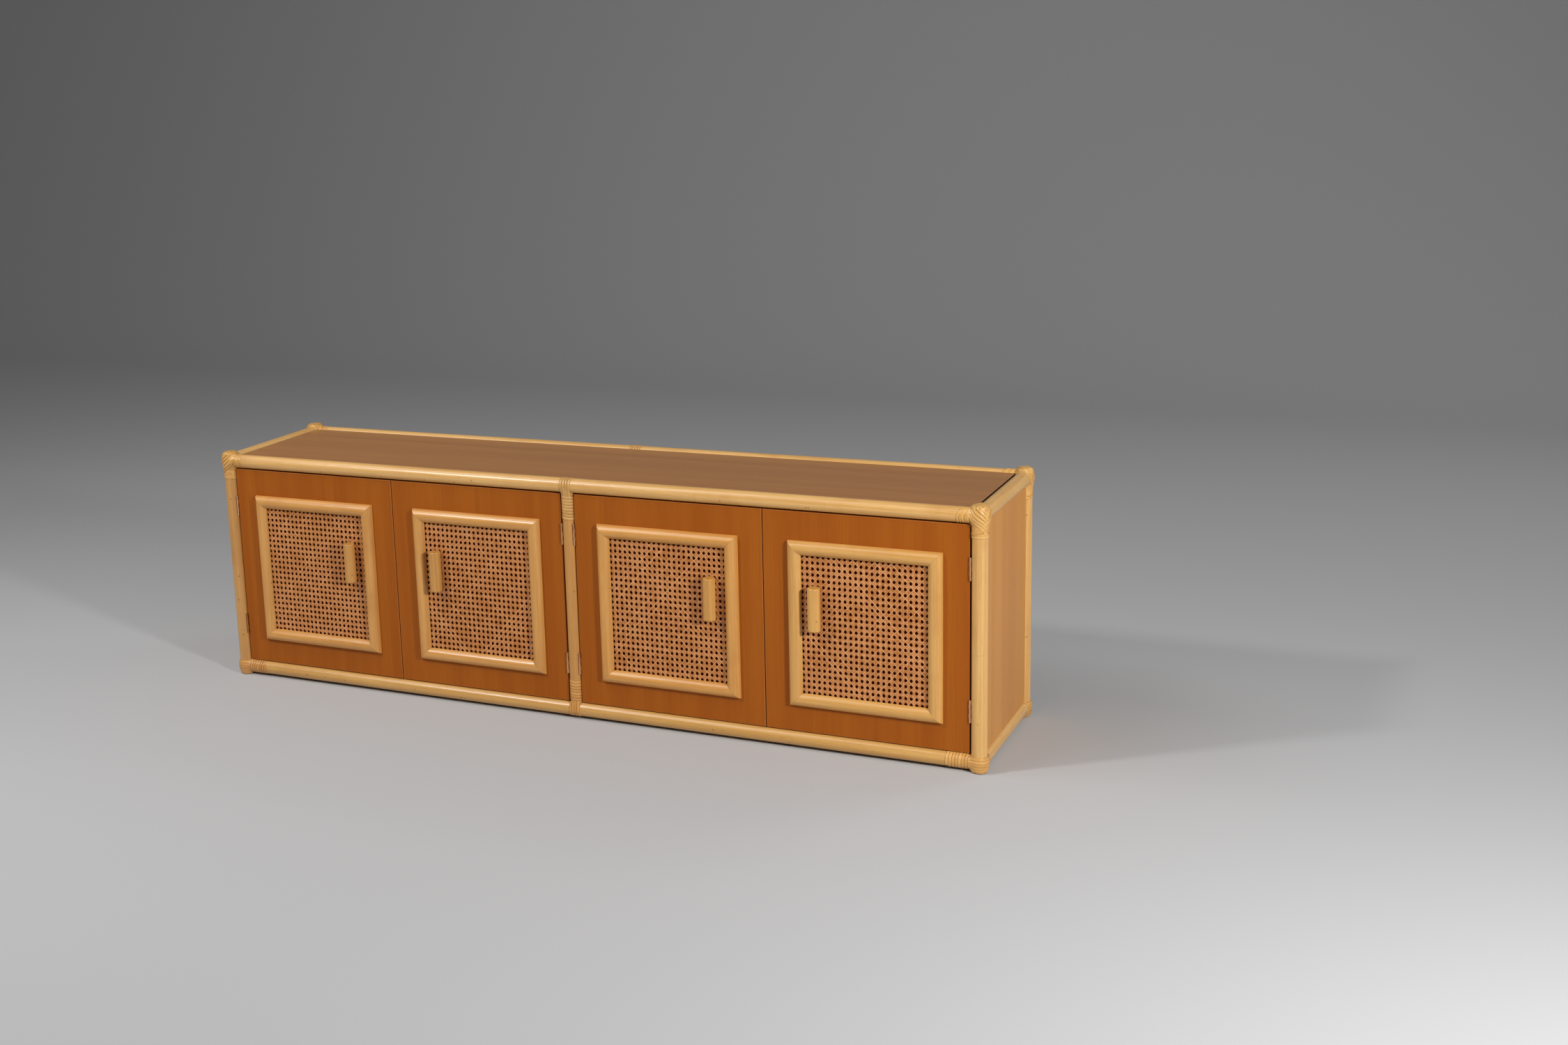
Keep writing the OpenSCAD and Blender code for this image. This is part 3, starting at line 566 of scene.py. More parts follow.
@dataclass(frozen=True)
class MetalFinish(Finish):
    """Rolled metal with fine scratches and a slight tarnish."""

    effects: Effects
    bright: Colour
    dull: Colour
    roughness: float

    def material(self) -> bpy.types.Material:
        """Builds the material.

        Returns:
            The metal, read on Object coordinates.
        """
        material, graph, shader = self.start(self.roughness, metallic=1.0)
        place = graph.node("ShaderNodeTexCoord").outputs["Object"]
        lines = {"Vector": place, "Fine": 2600.0, "Broad": 300.0, "Stretch": 0.05, "Seed": 1.0}
        scratches = graph.group(self.effects.grain, lines)
        film = graph.group(self.effects.film, {"Vector": place, "Roughness": self.roughness, "Change": 0.2})
        colour = graph.blend(graph.span(scratches.outputs["Cloud"], 0.4, 0.7), self.bright, self.dull)
        colour = graph.blend(graph.span(scratches.outputs["Streak"], 0.6, 0.85, 0.0, 0.4), colour, self.dull)
        self.end(graph, shader, colour, film, scratches.outputs["Height"], 0.03 * MM)
        return material


@dataclass(frozen=True)
class PlasticFinish(Finish):
    """Moulded plastic, or a dark sheet of painted shade, with a fine pebbled grain."""

    effects: Effects
    colour: Colour
    darker: Colour
    roughness: float = 0.5
    specular: float = 0.5

    def material(self) -> bpy.types.Material:
        """Builds the material.

        Returns:
            The plastic, read on Object coordinates.
        """
        material, graph, shader = self.start(self.roughness, specular=self.specular)
        place = graph.node("ShaderNodeTexCoord").outputs["Object"]
        film = graph.group(self.effects.film, {"Vector": place, "Roughness": self.roughness, "Change": 0.15})
        pebble = graph.node("ShaderNodeTexVoronoi", {"Vector": place, "Scale": 1400.0}).outputs["Distance"]
        colour = graph.blend(graph.noise(place, 60.0, 2.0), self.colour, self.darker)
        self.end(graph, shader, colour, film, pebble, 0.06 * MM)
        return material


@dataclass(frozen=True)
class StudioFinish(Finish):
    """Plain matt paint of the studio's floor and backdrop."""

    colour: Colour

    def material(self) -> bpy.types.Material:
        """Builds the paint.

        Returns:
            The paint.
        """
        material, _, shader = self.start(roughness=0.9)
        shader.inputs["Base Color"].default_value = self.colour
        return material


# Geometry Nodes trees


def sweep(graph: Graph, curve: Setting, width: Setting, thickness: Setting, tint: Setting, material: Setting,
          sides: int = 8) -> bpy.types.NodeSocket:
    """Adds the nodes that sweep a crowned strip along a curve and note where each point of it lies.

    Args:
        graph: The tree.
        curve: The centre line, its normals looking out of the strip's face.
        width: The strip's width.
        thickness: The strip's thickness.
        tint: The strip's tone, from 0 to 1.
        material: The strip's finish.
        sides: Corners of the strip's section.

    Returns:
        The swept mesh.
    """
    ring = graph.out("GeometryNodeCurvePrimitiveCircle", {"Resolution": sides, "Radius": 1.0})
    size = graph.combine(graph.math("MULTIPLY", thickness, 0.5), graph.math("MULTIPLY", width, 0.5), 1.0)
    profile = graph.out("GeometryNodeTransform", {"Geometry": ring, "Scale": size})
    profile = graph.store(profile, "across", graph.parts(graph.out("GeometryNodeInputPosition"))[1])
    path = graph.store(curve, "along", graph.node("GeometryNodeSplineParameter").outputs["Length"])
    path = graph.store(path, "tint", tint)
    mesh = graph.out("GeometryNodeCurveToMesh", {"Curve": path, "Profile Curve": profile, "Fill Caps": True})
    lay = graph.combine(graph.read("across"), graph.read("tint"), graph.read("along"))
    mesh = graph.store(mesh, LAY, lay, "FLOAT_VECTOR")
    mesh = graph.out("GeometryNodeSetShadeSmooth", {"Geometry": mesh, "Shade Smooth": True})
    mesh = graph.out("GeometryNodeRealizeInstances", {0: mesh})
    return graph.out("GeometryNodeSetMaterial", {"Geometry": mesh, "Material": material})


def wound_turns() -> bpy.types.NodeTree:
    """Builds the tree that winds a strip round a pole on Z, from the origin up.

    Returns:
        The tree.
    """
    inputs = {"Geometry": "Geometry", "Pole Radius": POLE_R, "Turns": 4.0, "Pitch": 7.2 * MM, "Strip Width": 6.7 * MM,
              "Strip Thickness": 0.9 * MM, "Sway": 1.6 * MM, "Steps": 40, "Seed": 0, "Material": "Material"}
    graph, given, out = group_tree("wound_turns", inputs, ["Geometry"], "GeometryNodeTree")
    middle = graph.math("MULTIPLY_ADD", given["Strip Thickness"], 0.5, given["Pole Radius"])
    rise = graph.math("MULTIPLY", given["Turns"], given["Pitch"])
    coil = graph.out("GeometryNodeCurveSpiral", {
        "Resolution": given["Steps"], "Rotations": given["Turns"], "Start Radius": middle, "End Radius": middle,
        "Height": rise})
    lean = graph.math("SUBTRACT", graph.noise(graph.out("GeometryNodeInputPosition"), 45.0), 0.5)
    offset = graph.combine(z=graph.math("MULTIPLY", lean, given["Sway"]))
    coil = graph.out("GeometryNodeSetPosition", {"Geometry": coil, "Offset": offset})
    coil = graph.out("GeometryNodeSetCurveNormal", {"Curve": coil}, mode="Z_UP")
    index = graph.node("GeometryNodeSplineParameter").outputs["Index"]
    tint = graph.draw(graph.math("FLOOR", graph.math("DIVIDE", index, given["Steps"])), given["Seed"])
    strip = sweep(graph, coil, given["Strip Width"], given["Strip Thickness"], tint, given["Material"])
    return graph.give(out, {"Geometry": strip})


def laid_strips() -> bpy.types.NodeTree:
    """Builds the tree that lays strips along paths whose points know which way the strip faces.

    Returns:
        The tree.
    """
    inputs = {"Geometry": "Geometry", "Strip Width": 6 * MM, "Strip Thickness": 0.8 * MM, "Material": "Material"}
    graph, given, out = group_tree("laid_strips", inputs, ["Geometry"], "GeometryNodeTree")
    curve = graph.out("GeometryNodeMeshToCurve", {0: given["Geometry"]})
    facing = graph.read(FACING, "FLOAT_VECTOR")
    curve = graph.out("GeometryNodeSetCurveNormal", {"Curve": curve, "Normal": facing}, mode="FREE")
    strip = sweep(graph, curve, given["Strip Width"], given["Strip Thickness"], graph.read(TONE), given["Material"])
    return graph.give(out, {"Geometry": strip})


def woven_strands() -> bpy.types.NodeTree:
    """Builds the tree that lays one family of webbing strands, in the XY plane with its face up.

    Returns:
        The tree.
    """
    inputs = {"Geometry": "Geometry", "Half Width": 0.15, "Half Height": 0.165, "Length": 0.5, "Rows": 24,
              "Spacing": 13 * MM, "Pair": 2, "Pair Gap": 3 * MM, "Angle": 0.0, "Wave Length": 26 * MM,
              "Wave Height": 0.3 * MM, "Lift": 0.0, "Steps": 120, "Strand Width": 2.3 * MM,
              "Strand Thickness": 0.5 * MM, "Seed": 0, "Material": "Material"}
    graph, given, out = group_tree("woven_strands", inputs, ["Geometry"], "GeometryNodeTree")
    # one point for each strand, beside the origin along Y
    count = graph.math("MULTIPLY", given["Rows"], given["Pair"])
    points = graph.out("GeometryNodeMeshLine", {"Count": count, "Offset": (0.0, 0.0, 0.0)}, mode="OFFSET")
    index = graph.out("GeometryNodeInputIndex")
    row = graph.math("FLOOR", graph.math("DIVIDE", index, given["Pair"]))
    within = graph.from_middle(graph.math("MODULO", index, given["Pair"]), given["Pair"])
    aside = graph.math("MULTIPLY_ADD", graph.from_middle(row, given["Rows"]), given["Spacing"],
                       graph.math("MULTIPLY", within, given["Pair Gap"]))
    line = graph.out("GeometryNodeSetPosition", {"Geometry": points, "Position": graph.combine(y=aside)})
    line = graph.store(graph.store(line, "row", row), "strand", index)
    # a straight strand along X on each point, bent to its wave
    end = graph.combine(graph.math("MULTIPLY", given["Length"], 0.5))
    start = graph.vector("MULTIPLY", end, (-1.0, 1.0, 1.0))
    strand = graph.out("GeometryNodeCurvePrimitiveLine", {"Start": start, "End": end})
    strand = graph.out("GeometryNodeResampleCurve", {"Curve": strand, "Count": given["Steps"]})
    copies = graph.out("GeometryNodeInstanceOnPoints", {"Points": line, "Instance": strand})
    curves = graph.out("GeometryNodeRealizeInstances", {0: copies})
    along = graph.parts(graph.out("GeometryNodeInputPosition"))[0]
    phase = graph.math("MULTIPLY", graph.read("row"), math.pi)
    swing = graph.math("MULTIPLY_ADD", graph.math("DIVIDE", along, given["Wave Length"]), 2 * math.pi, phase)
    rise = graph.math("MULTIPLY_ADD", graph.math("SINE", swing), given["Wave Height"], given["Lift"])
    curves = graph.out("GeometryNodeSetPosition", {"Geometry": curves, "Offset": graph.combine(z=rise)})
    # the family is turned and cut to the sheet
    curves = graph.out("GeometryNodeTransform", {"Geometry": curves, "Rotation": graph.combine(z=given["Angle"])})
    x, y, _ = graph.parts(graph.out("GeometryNodeInputPosition"))
    beside = graph.math("GREATER_THAN", graph.math("ABSOLUTE", x), given["Half Width"])
    beyond = graph.math("GREATER_THAN", graph.math("ABSOLUTE", y), given["Half Height"])
    outside = graph.math("MAXIMUM", beside, beyond)
    curves = graph.out("GeometryNodeDeleteGeometry", {0: curves, 1: outside}, domain="POINT")
    few = graph.math("LESS_THAN", graph.node("GeometryNodeSplineLength").outputs["Point Count"], 3.0)
    curves = graph.out("GeometryNodeDeleteGeometry", {0: curves, 1: few}, domain="CURVE")
    # its normals lie level, so the strand's width and thickness change places
    curves = graph.out("GeometryNodeSetCurveNormal", {"Curve": curves}, mode="Z_UP")
    tint = graph.draw(graph.read("strand"), given["Seed"])
    width, thickness = given["Strand Thickness"], given["Strand Width"]
    return graph.give(out, {"Geometry": sweep(graph, curves, width, thickness, tint, given["Material"], sides=6)})


@dataclass
class Trees:
    """The Geometry Nodes trees, built once."""

    turns: bpy.types.NodeTree = field(default_factory=wound_turns)
    laid: bpy.types.NodeTree = field(default_factory=laid_strips)
    strands: bpy.types.NodeTree = field(default_factory=woven_strands)


# Objects and meshes


def add_object(name: str, data: bpy.types.ID) -> bpy.types.Object:
    """Adds an object to the scene, at the origin.

    Args:
        name: Its name.
        data: Its mesh, lamp or camera.

    Returns:
        The object.
    """
    added = bpy.data.objects.new(name, data)
    bpy.context.scene.collection.objects.link(added)
    return added


def finished_mesh(carrier: bpy.types.Object) -> bpy.types.Mesh:
    """Removes an object and returns its mesh as its modifiers leave it.

    Args:
        carrier: The object with the modifiers.

    Returns:
        The plain mesh.
    """
    graph = bpy.context.evaluated_depsgraph_get()
    mesh = bpy.data.meshes.new_from_object(carrier.evaluated_get(graph), depsgraph=graph)
    bpy.data.objects.remove(carrier)
    return mesh


def run_tree(tree: bpy.types.NodeTree, values: dict, base: bpy.types.Mesh | None = None) -> bpy.types.Mesh:
    """Runs a tree on a mesh and returns its result as a plain mesh.

    Args:
        tree: The Geometry Nodes tree.
        values: Its inputs by name.
        base: The mesh that it starts from, if it needs one.

    Returns:
        The new mesh.
    """
    carrier = add_object("carrier", base or bpy.data.meshes.new("carrier"))
    modifier = carrier.modifiers.new("shape", "NODES")
    modifier.node_group = tree
    sockets = {item.name: item.identifier for item in tree.interface.items_tree if item.in_out == "INPUT"}
    for name, value in values.items():
        modifier[sockets[name]] = value
    return finished_mesh(carrier)


def mesh_from(points: np.ndarray, faces: list, name: str, edges: list | None = None) -> bpy.types.Mesh:
    """Makes a mesh from points and faces, or from points and edges.

    Args:
        points: The points.
        faces: The numbers of each face's points.
        name: The mesh's name.
        edges: The numbers of each loose edge's points.

    Returns:
        The mesh.
    """
    mesh = bpy.data.meshes.new(name)
    mesh.from_pydata([tuple(point) for point in points], edges or [], faces)
    mesh.update()
    return mesh


def shell_mesh(shell: bmesh.types.BMesh, name: str) -> bpy.types.Mesh:
    """Turns a shell that is being edited into a mesh, and frees it.

    Args:
        shell: The shell.
        name: The mesh's name.

    Returns:
        The mesh.
    """
    mesh = bpy.data.meshes.new(name)
    shell.to_mesh(mesh)
    shell.free()
    return mesh


def add_block(shell: bmesh.types.BMesh, centre: Vector, size: Vector | tuple) -> None:
    """Adds a block of a given size round its centre."""
    bmesh.ops.create_cube(shell, size=1.0, matrix=Matrix.Translation(centre) @ Matrix.Diagonal((*size, 1.0)))


def add_rod(shell: bmesh.types.BMesh, radius: float, length: float, place: Matrix, segments: int) -> None:
    """Adds a rod along its own Z, round its middle."""
    bmesh.ops.create_cone(shell, cap_ends=True, segments=segments, radius1=radius, radius2=radius, depth=length,
                          matrix=place)


def add_attribute(mesh: bpy.types.Mesh, name: str, values: np.ndarray) -> None:
    """Stores an attribute on a mesh's points: a number for each, or a vector for each."""
    kind, key = ("FLOAT_VECTOR", "vector") if values.ndim == 2 else ("FLOAT", "value")
    mesh.attributes.new(name, kind, "POINT").data.foreach_set(key, values.astype(np.float32).ravel())


def join_meshes(name: str, meshes: list[bpy.types.Mesh]) -> bpy.types.Object:
    """Joins meshes into one object at the origin.

    Args:
        name: The piece's name.
        meshes: What it is made of, in the row frame.

    Returns:
        The piece.
    """
    joined = bmesh.new()
    materials: list[bpy.types.Material] = []
    for mesh in meshes:
        slots = []
        for material in mesh.materials:
            if material not in materials:
                materials.append(material)
            slots.append(materials.index(material))
        before = len(joined.faces)
        joined.from_mesh(mesh)
        joined.faces.ensure_lookup_table()
        for face in joined.faces[before:]:
            face.material_index = slots[face.material_index] if slots else 0
    piece = add_object(name, shell_mesh(joined, name))
    for material in materials:
        piece.data.materials.append(material)
    return piece


def path_mesh(paths: list[np.ndarray], facings: list[np.ndarray], tones: list[float]) -> bpy.types.Mesh:
    """Makes a mesh of edges from paths, with the way that each strip faces and its tone.

    Args:
        paths: The points of each path.
        facings: The outward direction at each point.
        tones: The tone of each path, from 0 to 1.

    Returns:
        The mesh.
    """
    edges, start = [], 0
    for path in paths:
        edges += [(start + i, start + i + 1) for i in range(len(path) - 1)]
        start += len(path)
    mesh = mesh_from(np.concatenate(paths), [], "paths", edges)
    add_attribute(mesh, FACING, np.concatenate(facings))
    add_attribute(mesh, TONE, np.repeat(tones, [len(path) for path in paths]))
    return mesh


def point_outwards(mesh: bpy.types.Mesh) -> None:
    """Turns all faces of closed shells outwards.

    Args:
        mesh: The mesh of the shells.
    """
    shells = bmesh.new()
    shells.from_mesh(mesh)
    bmesh.ops.recalc_face_normals(shells, faces=shells.faces)
    shells.to_mesh(mesh)
    shells.free()


def away_from(distance: Callable[[np.ndarray], np.ndarray], points: np.ndarray) -> np.ndarray:
    """Gives the direction in which a distance grows fastest.

    Args:
        distance: Gives the distance of points from a form, in millimetres.
        points: The points.

    Returns:
        A direction of length 1 for each point.
    """
    slopes = [distance(points + step) - distance(points - step) for step in np.eye(3) * 0.05]
    slope = np.stack(slopes, 1)
    return slope / np.maximum(np.linalg.norm(slope, axis=1, keepdims=True), 1e-9)


def ramp(values: np.ndarray, start: float, length: float) -> np.ndarray:
    """Rises from 0 at the start to 1 over a length."""
    return np.clip((values - start) / length, 0, 1)


# Sizes that the solids give


@dataclass
class PoleFrame:
    """Where the poles' axes are and how thick the poles are, measured on the solids, in metres."""

    post_x: float
    front_y: float
    rear_y: float
    low_z: float
    top_z: float
    post_r: float
    rail_r: float
    mid_r: float
    post_end: float
    panel_aside: float
    panel_half: float

    @classmethod
    def measured(cls) -> "PoleFrame":
        """Measures the poles.

        Returns:
            The poles' sizes.
        """
        low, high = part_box("front_right_post")
        rear_low, rear_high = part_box("rear_right_post")
        rail_low, rail_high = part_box("front_top_rail")
        base_low, base_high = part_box("front_bottom_rail")
        mid_low, mid_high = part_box("front_middle_post")
        panel_low, panel_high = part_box("right_side_panel")
        top_z = (rail_low.z + rail_high.z) / 2
        return cls(
            post_x=(low.x + high.x) / 2,
            front_y=(low.y + high.y) / 2,
            rear_y=(rear_low.y + rear_high.y) / 2,
            low_z=(base_low.z + base_high.z) / 2,
            top_z=top_z,
            post_r=(high.x - low.x) / 2,
            rail_r=(rail_high.z - rail_low.z) / 2,
            mid_r=(mid_high.x - mid_low.x) / 2,
            post_end=high.z - top_z,
            panel_aside=(low.x + high.x) / 2 - (panel_low.x + panel_high.x) / 2,
            panel_half=(panel_high.x - panel_low.x) / 2,
        )

    def row_y(self, row: Row) -> float:
        """Gives the depth of a row's axes."""
        return self.front_y if row is Row.FRONT else self.rear_y

    def rail_z(self, level: Level) -> float:
        """Gives the height of a level's rail axes."""
        return self.top_z if level is Level.TOP else self.low_z


# Lashings


@dataclass
class KnotShape:
    """The rounded form of one corner's poles under its lashing, as a distance in millimetres.

    It is drawn in the corner's own frame: a runs inwards along the long rail, b inwards along the side rail, and c
    towards the post's free end, all from the crossing of the poles' axes.
    """

    post_r: float
    rail_r: float
    post_end: float
    rounding: float = 3.5
    fillet: float = 6.0
    side_fillet: float = 15.0

    def distance(self, points: np.ndarray) -> np.ndarray:
        """Gives the distance of points from the poles, filleted where they meet.

        Args:
            points: Points in the corner's frame.

        Returns:
            One distance for each, negative inside.
        """
        a, b, c = points[:, 0], points[:, 1], points[:, 2]
        inner = np.stack([np.hypot(a, b) - self.post_r + self.rounding, c - self.post_end + self.rounding], 1)
        post = np.linalg.norm(np.maximum(inner, 0), axis=1) + np.minimum(inner.max(1), 0) - self.rounding
        long_rail = np.sqrt(b**2 + c**2 + np.minimum(a, 0) ** 2) - self.rail_r
        side_rail = np.sqrt(a**2 + c**2 + np.minimum(b, 0) ** 2) - self.rail_r
        return self.soft_least(self.soft_least(post, side_rail, self.side_fillet), long_rail, self.fillet)

    @staticmethod
    def soft_least(first: np.ndarray, second: np.ndarray, fillet: float) -> np.ndarray:
        """Joins two distances with a fillet."""
        near = np.maximum(fillet - np.abs(first - second), 0) / fillet
        return np.minimum(first, second) - near**2 * fillet / 4

    def outwards(self, points: np.ndarray) -> np.ndarray:
        """Gives the outward direction at points."""
        return away_from(self.distance, points)

    def settle(self, points: np.ndarray, lift: np.ndarray | float) -> np.ndarray:
        """Moves points to a given distance from the poles.

        Args:
            points: Points in the corner's frame.
            lift: How far from the poles they come to lie.

        Returns:
            The moved points.
        """
        for _ in range(8):
            points = points - (self.distance(points) - lift)[:, None] * self.outwards(points)
        return points


@dataclass
class CornerLashing:
    """The lashing at one corner: a smooth core over the crossing poles, laid strips that weave, and turns.

    The core reaches top_ends or low_ends along the long rail, the side rail and the post, in millimetres. From
    sleeve_from on it is a sleeve on the side rail and has the rail's finish.
    """

    poles: PoleFrame
    trees: Trees
    strip: bpy.types.Material
    core: bpy.types.Material
    side: Side
    row: Row
    level: Level
    rail_turns: int
    strip_w: float = 7.0 * MM
    strip_t: float = 0.9 * MM
    pitch: float = 7.2 * MM
    laid_t: float = 0.85 * MM
    scatter: float = 0.15
    last_turn: float = 0.35
    gap: float = 0.5 * MM
    cap_t: float = 2.0 * MM
    top_ends: tuple[float, float, float] = (20.0, 47.5, 47.5)
    low_ends: tuple[float, float, float] = (19.0, 29.5, 14.5)
    core_lift: float = 0.5
    core_end_lift: float = 0.12
    sleeve_from: float = 15.0

    @property
    def name(self) -> str:
        """The stem of the corner's node and piece names."""
        return f"{self.row.name}_{self.side.name}_{self.level.name}".lower()

    def shape(self) -> KnotShape:
        """Gives the form of the poles at this corner."""
        return KnotShape(self.poles.post_r / MM, self.poles.rail_r / MM, self.poles.post_end / MM)

    @property
    def signs(self) -> np.ndarray:
        """Which way the axes of the corner's frame point in the row frame."""
        return np.array([-self.side.value, -self.row.value, self.level.value])

    @property
    def crossing(self) -> tuple[float, float, float]:
        """Where the poles' axes cross, in the row frame."""
        return (self.side.value * self.poles.post_x, self.poles.row_y(self.row), self.poles.rail_z(self.level))

    def to_row(self, points: np.ndarray) -> np.ndarray:
        """Places points of the corner's frame, in millimetres, in the row frame, in metres."""
        return np.array(self.crossing) + points * (self.signs * MM)

    def core_distance(self, points: np.ndarray) -> np.ndarray:
        """Gives the distance from the core, which ends squarely on each pole.

        Args:
            points: Points in the corner's frame.

        Returns:
            One distance for each, negative inside.
        """
        top = self.level is Level.TOP
        ends = list((points * (1, 1, -1) - (self.top_ends if top else self.low_ends)).T)
        if not top:  # it stays just above the floor
            ends.append(points[:, 2] - (self.poles.low_z / MM - 0.02))
        thin = ramp(points[:, 1], 18, 24)
        lift = self.core_lift * (1 - thin) + self.core_end_lift * thin
        body = self.shape().distance(points) - lift - (self.cap_t / MM + 0.3 - lift) * self.beside_panel(points)
        for end in ends:
            near = np.maximum(1.0 - np.abs(body - end), 0)
            body = np.maximum(body, end) + near**2 / 4
        return body

    def beside_panel(self, points: np.ndarray) -> np.ndarray:
        """Gives how far points lie where the side panel is cut back for the lashing, from 0 to 1.

        Args:
            points: Points in the corner's frame.

        Returns:
            One share for each.
        """
        across, inwards, down = np.abs(points[:, 0] - self.poles.panel_aside / MM), points[:, 1], -points[:, 2]
        under_rail = ramp(down, 8, 5) * ramp(inwards, 12, 5)
        behind_post = ramp(inwards, 8, 5) * ramp(down, 12, 5)
        return np.maximum(under_rail, behind_post) * ramp(self.poles.panel_half / MM + 1.5 - across, 0, 2)

    def core_mesh(self) -> bpy.types.Mesh:
        """Builds the smooth core that shows between strips and forms the sleeve on the side rail.

        Returns:
            The core, in the row frame.
        """
        shape = self.shape()
        reach = 60.0
        rods = (
            (shape.rail_r, reach, (reach / 2, 0, 0), Matrix.Rotation(math.pi / 2, 4, "Y")),
            (shape.rail_r, reach, (0, reach / 2, 0), Matrix.Rotation(-math.pi / 2, 4, "X")),
            (shape.post_r, reach + shape.post_end, (0, 0, (shape.post_end - reach) / 2), Matrix()),
        )
        rough = bmesh.new()
        for radius, length, middle, turn in rods:
            add_rod(rough, radius + 1, length, Matrix.Translation(middle) @ turn, 32)
        carrier = add_object("core", shell_mesh(rough, "core"))
        remesh = carrier.modifiers.new("even", "REMESH")
        remesh.mode = "VOXEL"
        remesh.voxel_size = 2.0
        mesh = finished_mesh(carrier)
        points = np.array([vertex.co for vertex in mesh.vertices], float)
        for _ in range(14):  # draws the even mesh onto the core's form, 6 mm at a time at most
            step = np.clip(self.core_distance(points), -6, 6)[:, None]
            points = points - step * away_from(self.core_distance, points)
        mesh.vertices.foreach_set("co", self.to_row(points).astype(np.float32).ravel())
        mesh.update()
        point_outwards(mesh)
        mesh.shade_smooth()
        mesh.materials.clear()
        mesh.materials.append(self.core)
        rail = f"rattan_{self.side.name}_{self.level.name}_rail".lower()
        mesh.materials.append(bpy.data.materials[rail])
        inwards = points[:, 1]
        for polygon in mesh.polygons:
            polygon.material_index = int(min(inwards[i] for i in polygon.vertices) > self.sleeve_from)
        return mesh

    def on_post(self, turn: float, rise: float, lift: float) -> Waypoint:
        """Gives a waypoint on the post, turned from its face towards its outer side, in degrees."""
        angle, radius = math.radians(turn), self.poles.post_r / MM
        return (-radius * math.sin(angle), -radius * math.cos(angle), rise, lift)

    def on_rail(self, away: float, rise: float, lift: float) -> Waypoint:
        """Gives a waypoint on the long rail, raised from its face towards its top, in degrees."""
        angle, radius = math.radians(rise), self.poles.rail_r / MM
        return (away, -radius * math.cos(angle), radius * math.sin(angle), lift)

    def ring(self, height: float, tilt: float, lift: float, crest: float = 45.0, power: int = 1) -> list[Waypoint]:
        """Draws a closed turn round the post that rises towards one side.

        Args:
            height: Its height where it doesn't rise.
            tilt: How much it rises.
            lift: How high it lies.
            crest: Where it is highest, in degrees.
            power: How narrow its crest is.

        Returns:
            Its waypoints.
        """
        turns = [-135.0 + 15 * step for step in range(25)]
        rises = [math.cos(math.radians(turn - crest)) for turn in turns]
        if power > 1:
            rises = [max(0.0, rise) ** power for rise in rises]
        return [self.on_post(turn, height + tilt * rise, lift) for turn, rise in zip(turns, rises)]

    def crown(self, aside: float) -> list[Waypoint]:
        """Draws the part of a strip that runs over the post's end, from the long rail to the side rail.

        Args:
            aside: How far beside the middle it runs.

        Returns:
            Its waypoints.
        """
        share = (aside + 9) / 18
        ahead, over = 0.745, 0.667  # it crosses the post's end at 42 degrees
        stops = [(-10, 20.5, 1.1), (0, 22, 1.0), (10, 20.5, 1.0), (20, 12 + 4 * share, 0.6), (28, 2 + 10 * share, -0.5)]
        return [(aside * ahead - step * over, aside * over + step * ahead, c, lift) for step, c, lift in stops]

    def fan(self, number: int) -> list[list[Waypoint]]:
        """Draws one strip of the fan that binds the long rail and runs on over the post's end.

        Args:
            number: Which strip, counted from the post.

        Returns:
            The waypoints of each stretch of it.
        """
        share = number / (self.fan_count - 1)
        a, over = 23.0 + 23.0 * share, self.crown(-9 + 18 * share)
        if self.row is Row.FRONT:
            return [[(a, 13, -11, 0.3), (a, 0, -17.1, 0.4), (a, -13, -11, 0.45), (a - 0.5, -17, -2, 0.5),
                     (a - 2 - 2.4 * share, -15.5, 7.5, 0.75), (a - 6 - 5.4 * share, -9.5, 14.5, 1.2), *over]]
        bound = [(a + 5, 12, -12, 0.4), (a + 4, 17, 0, 0.5), (a + 1, 11.5, 12.5, 0.5), (a - 4, 1, 17, 0.5),
                 (a - 8, -10, 14, 0.5), (a - 10, -17, 2, 0.4), (a - 11, -13, -11, 0.3)]
        return [bound, [(20 + 6 * share, -12, 12, 0.1), *over]]

    @property
    def fan_count(self) -> int:
        """How many strips the fan has."""
        return 5 if self.row is Row.FRONT else 7

    def band(self, number: int) -> list[Waypoint]:
        """Draws one strip of the diagonal band from the long rail down to the post's outermost edge.

        Args:
            number: Which strip, counted from the lowest.

        Returns:
            Its waypoints.
        """
        up = 8.5 * number
        end = [self.on_post(24, up - 24.7, 1.05), self.on_post(45, up - 31.7, 0.75), self.on_post(62, up - 37.5, 0.4),
               self.on_post(80, up - 42, 0.0)]
        if number > 3:
            low = 0.0 if number == 4 else 1.0
            return [(4 - low, -7 + 3 * low, 22.0, 0.9), (1 - 2 * low, -14 + 4 * low, 19.0 + 2 * low, 1.05), *end]
        return [self.on_rail(29 - 3.5 * number, 35 + 20 * number, 0.2),
                self.on_rail(22 - 2.5 * number, 12 + 22 * number, 0.6),
                self.on_post(-38, up - 9, 1.05), self.on_post(-10, up - 16.2, 1.05), *end]

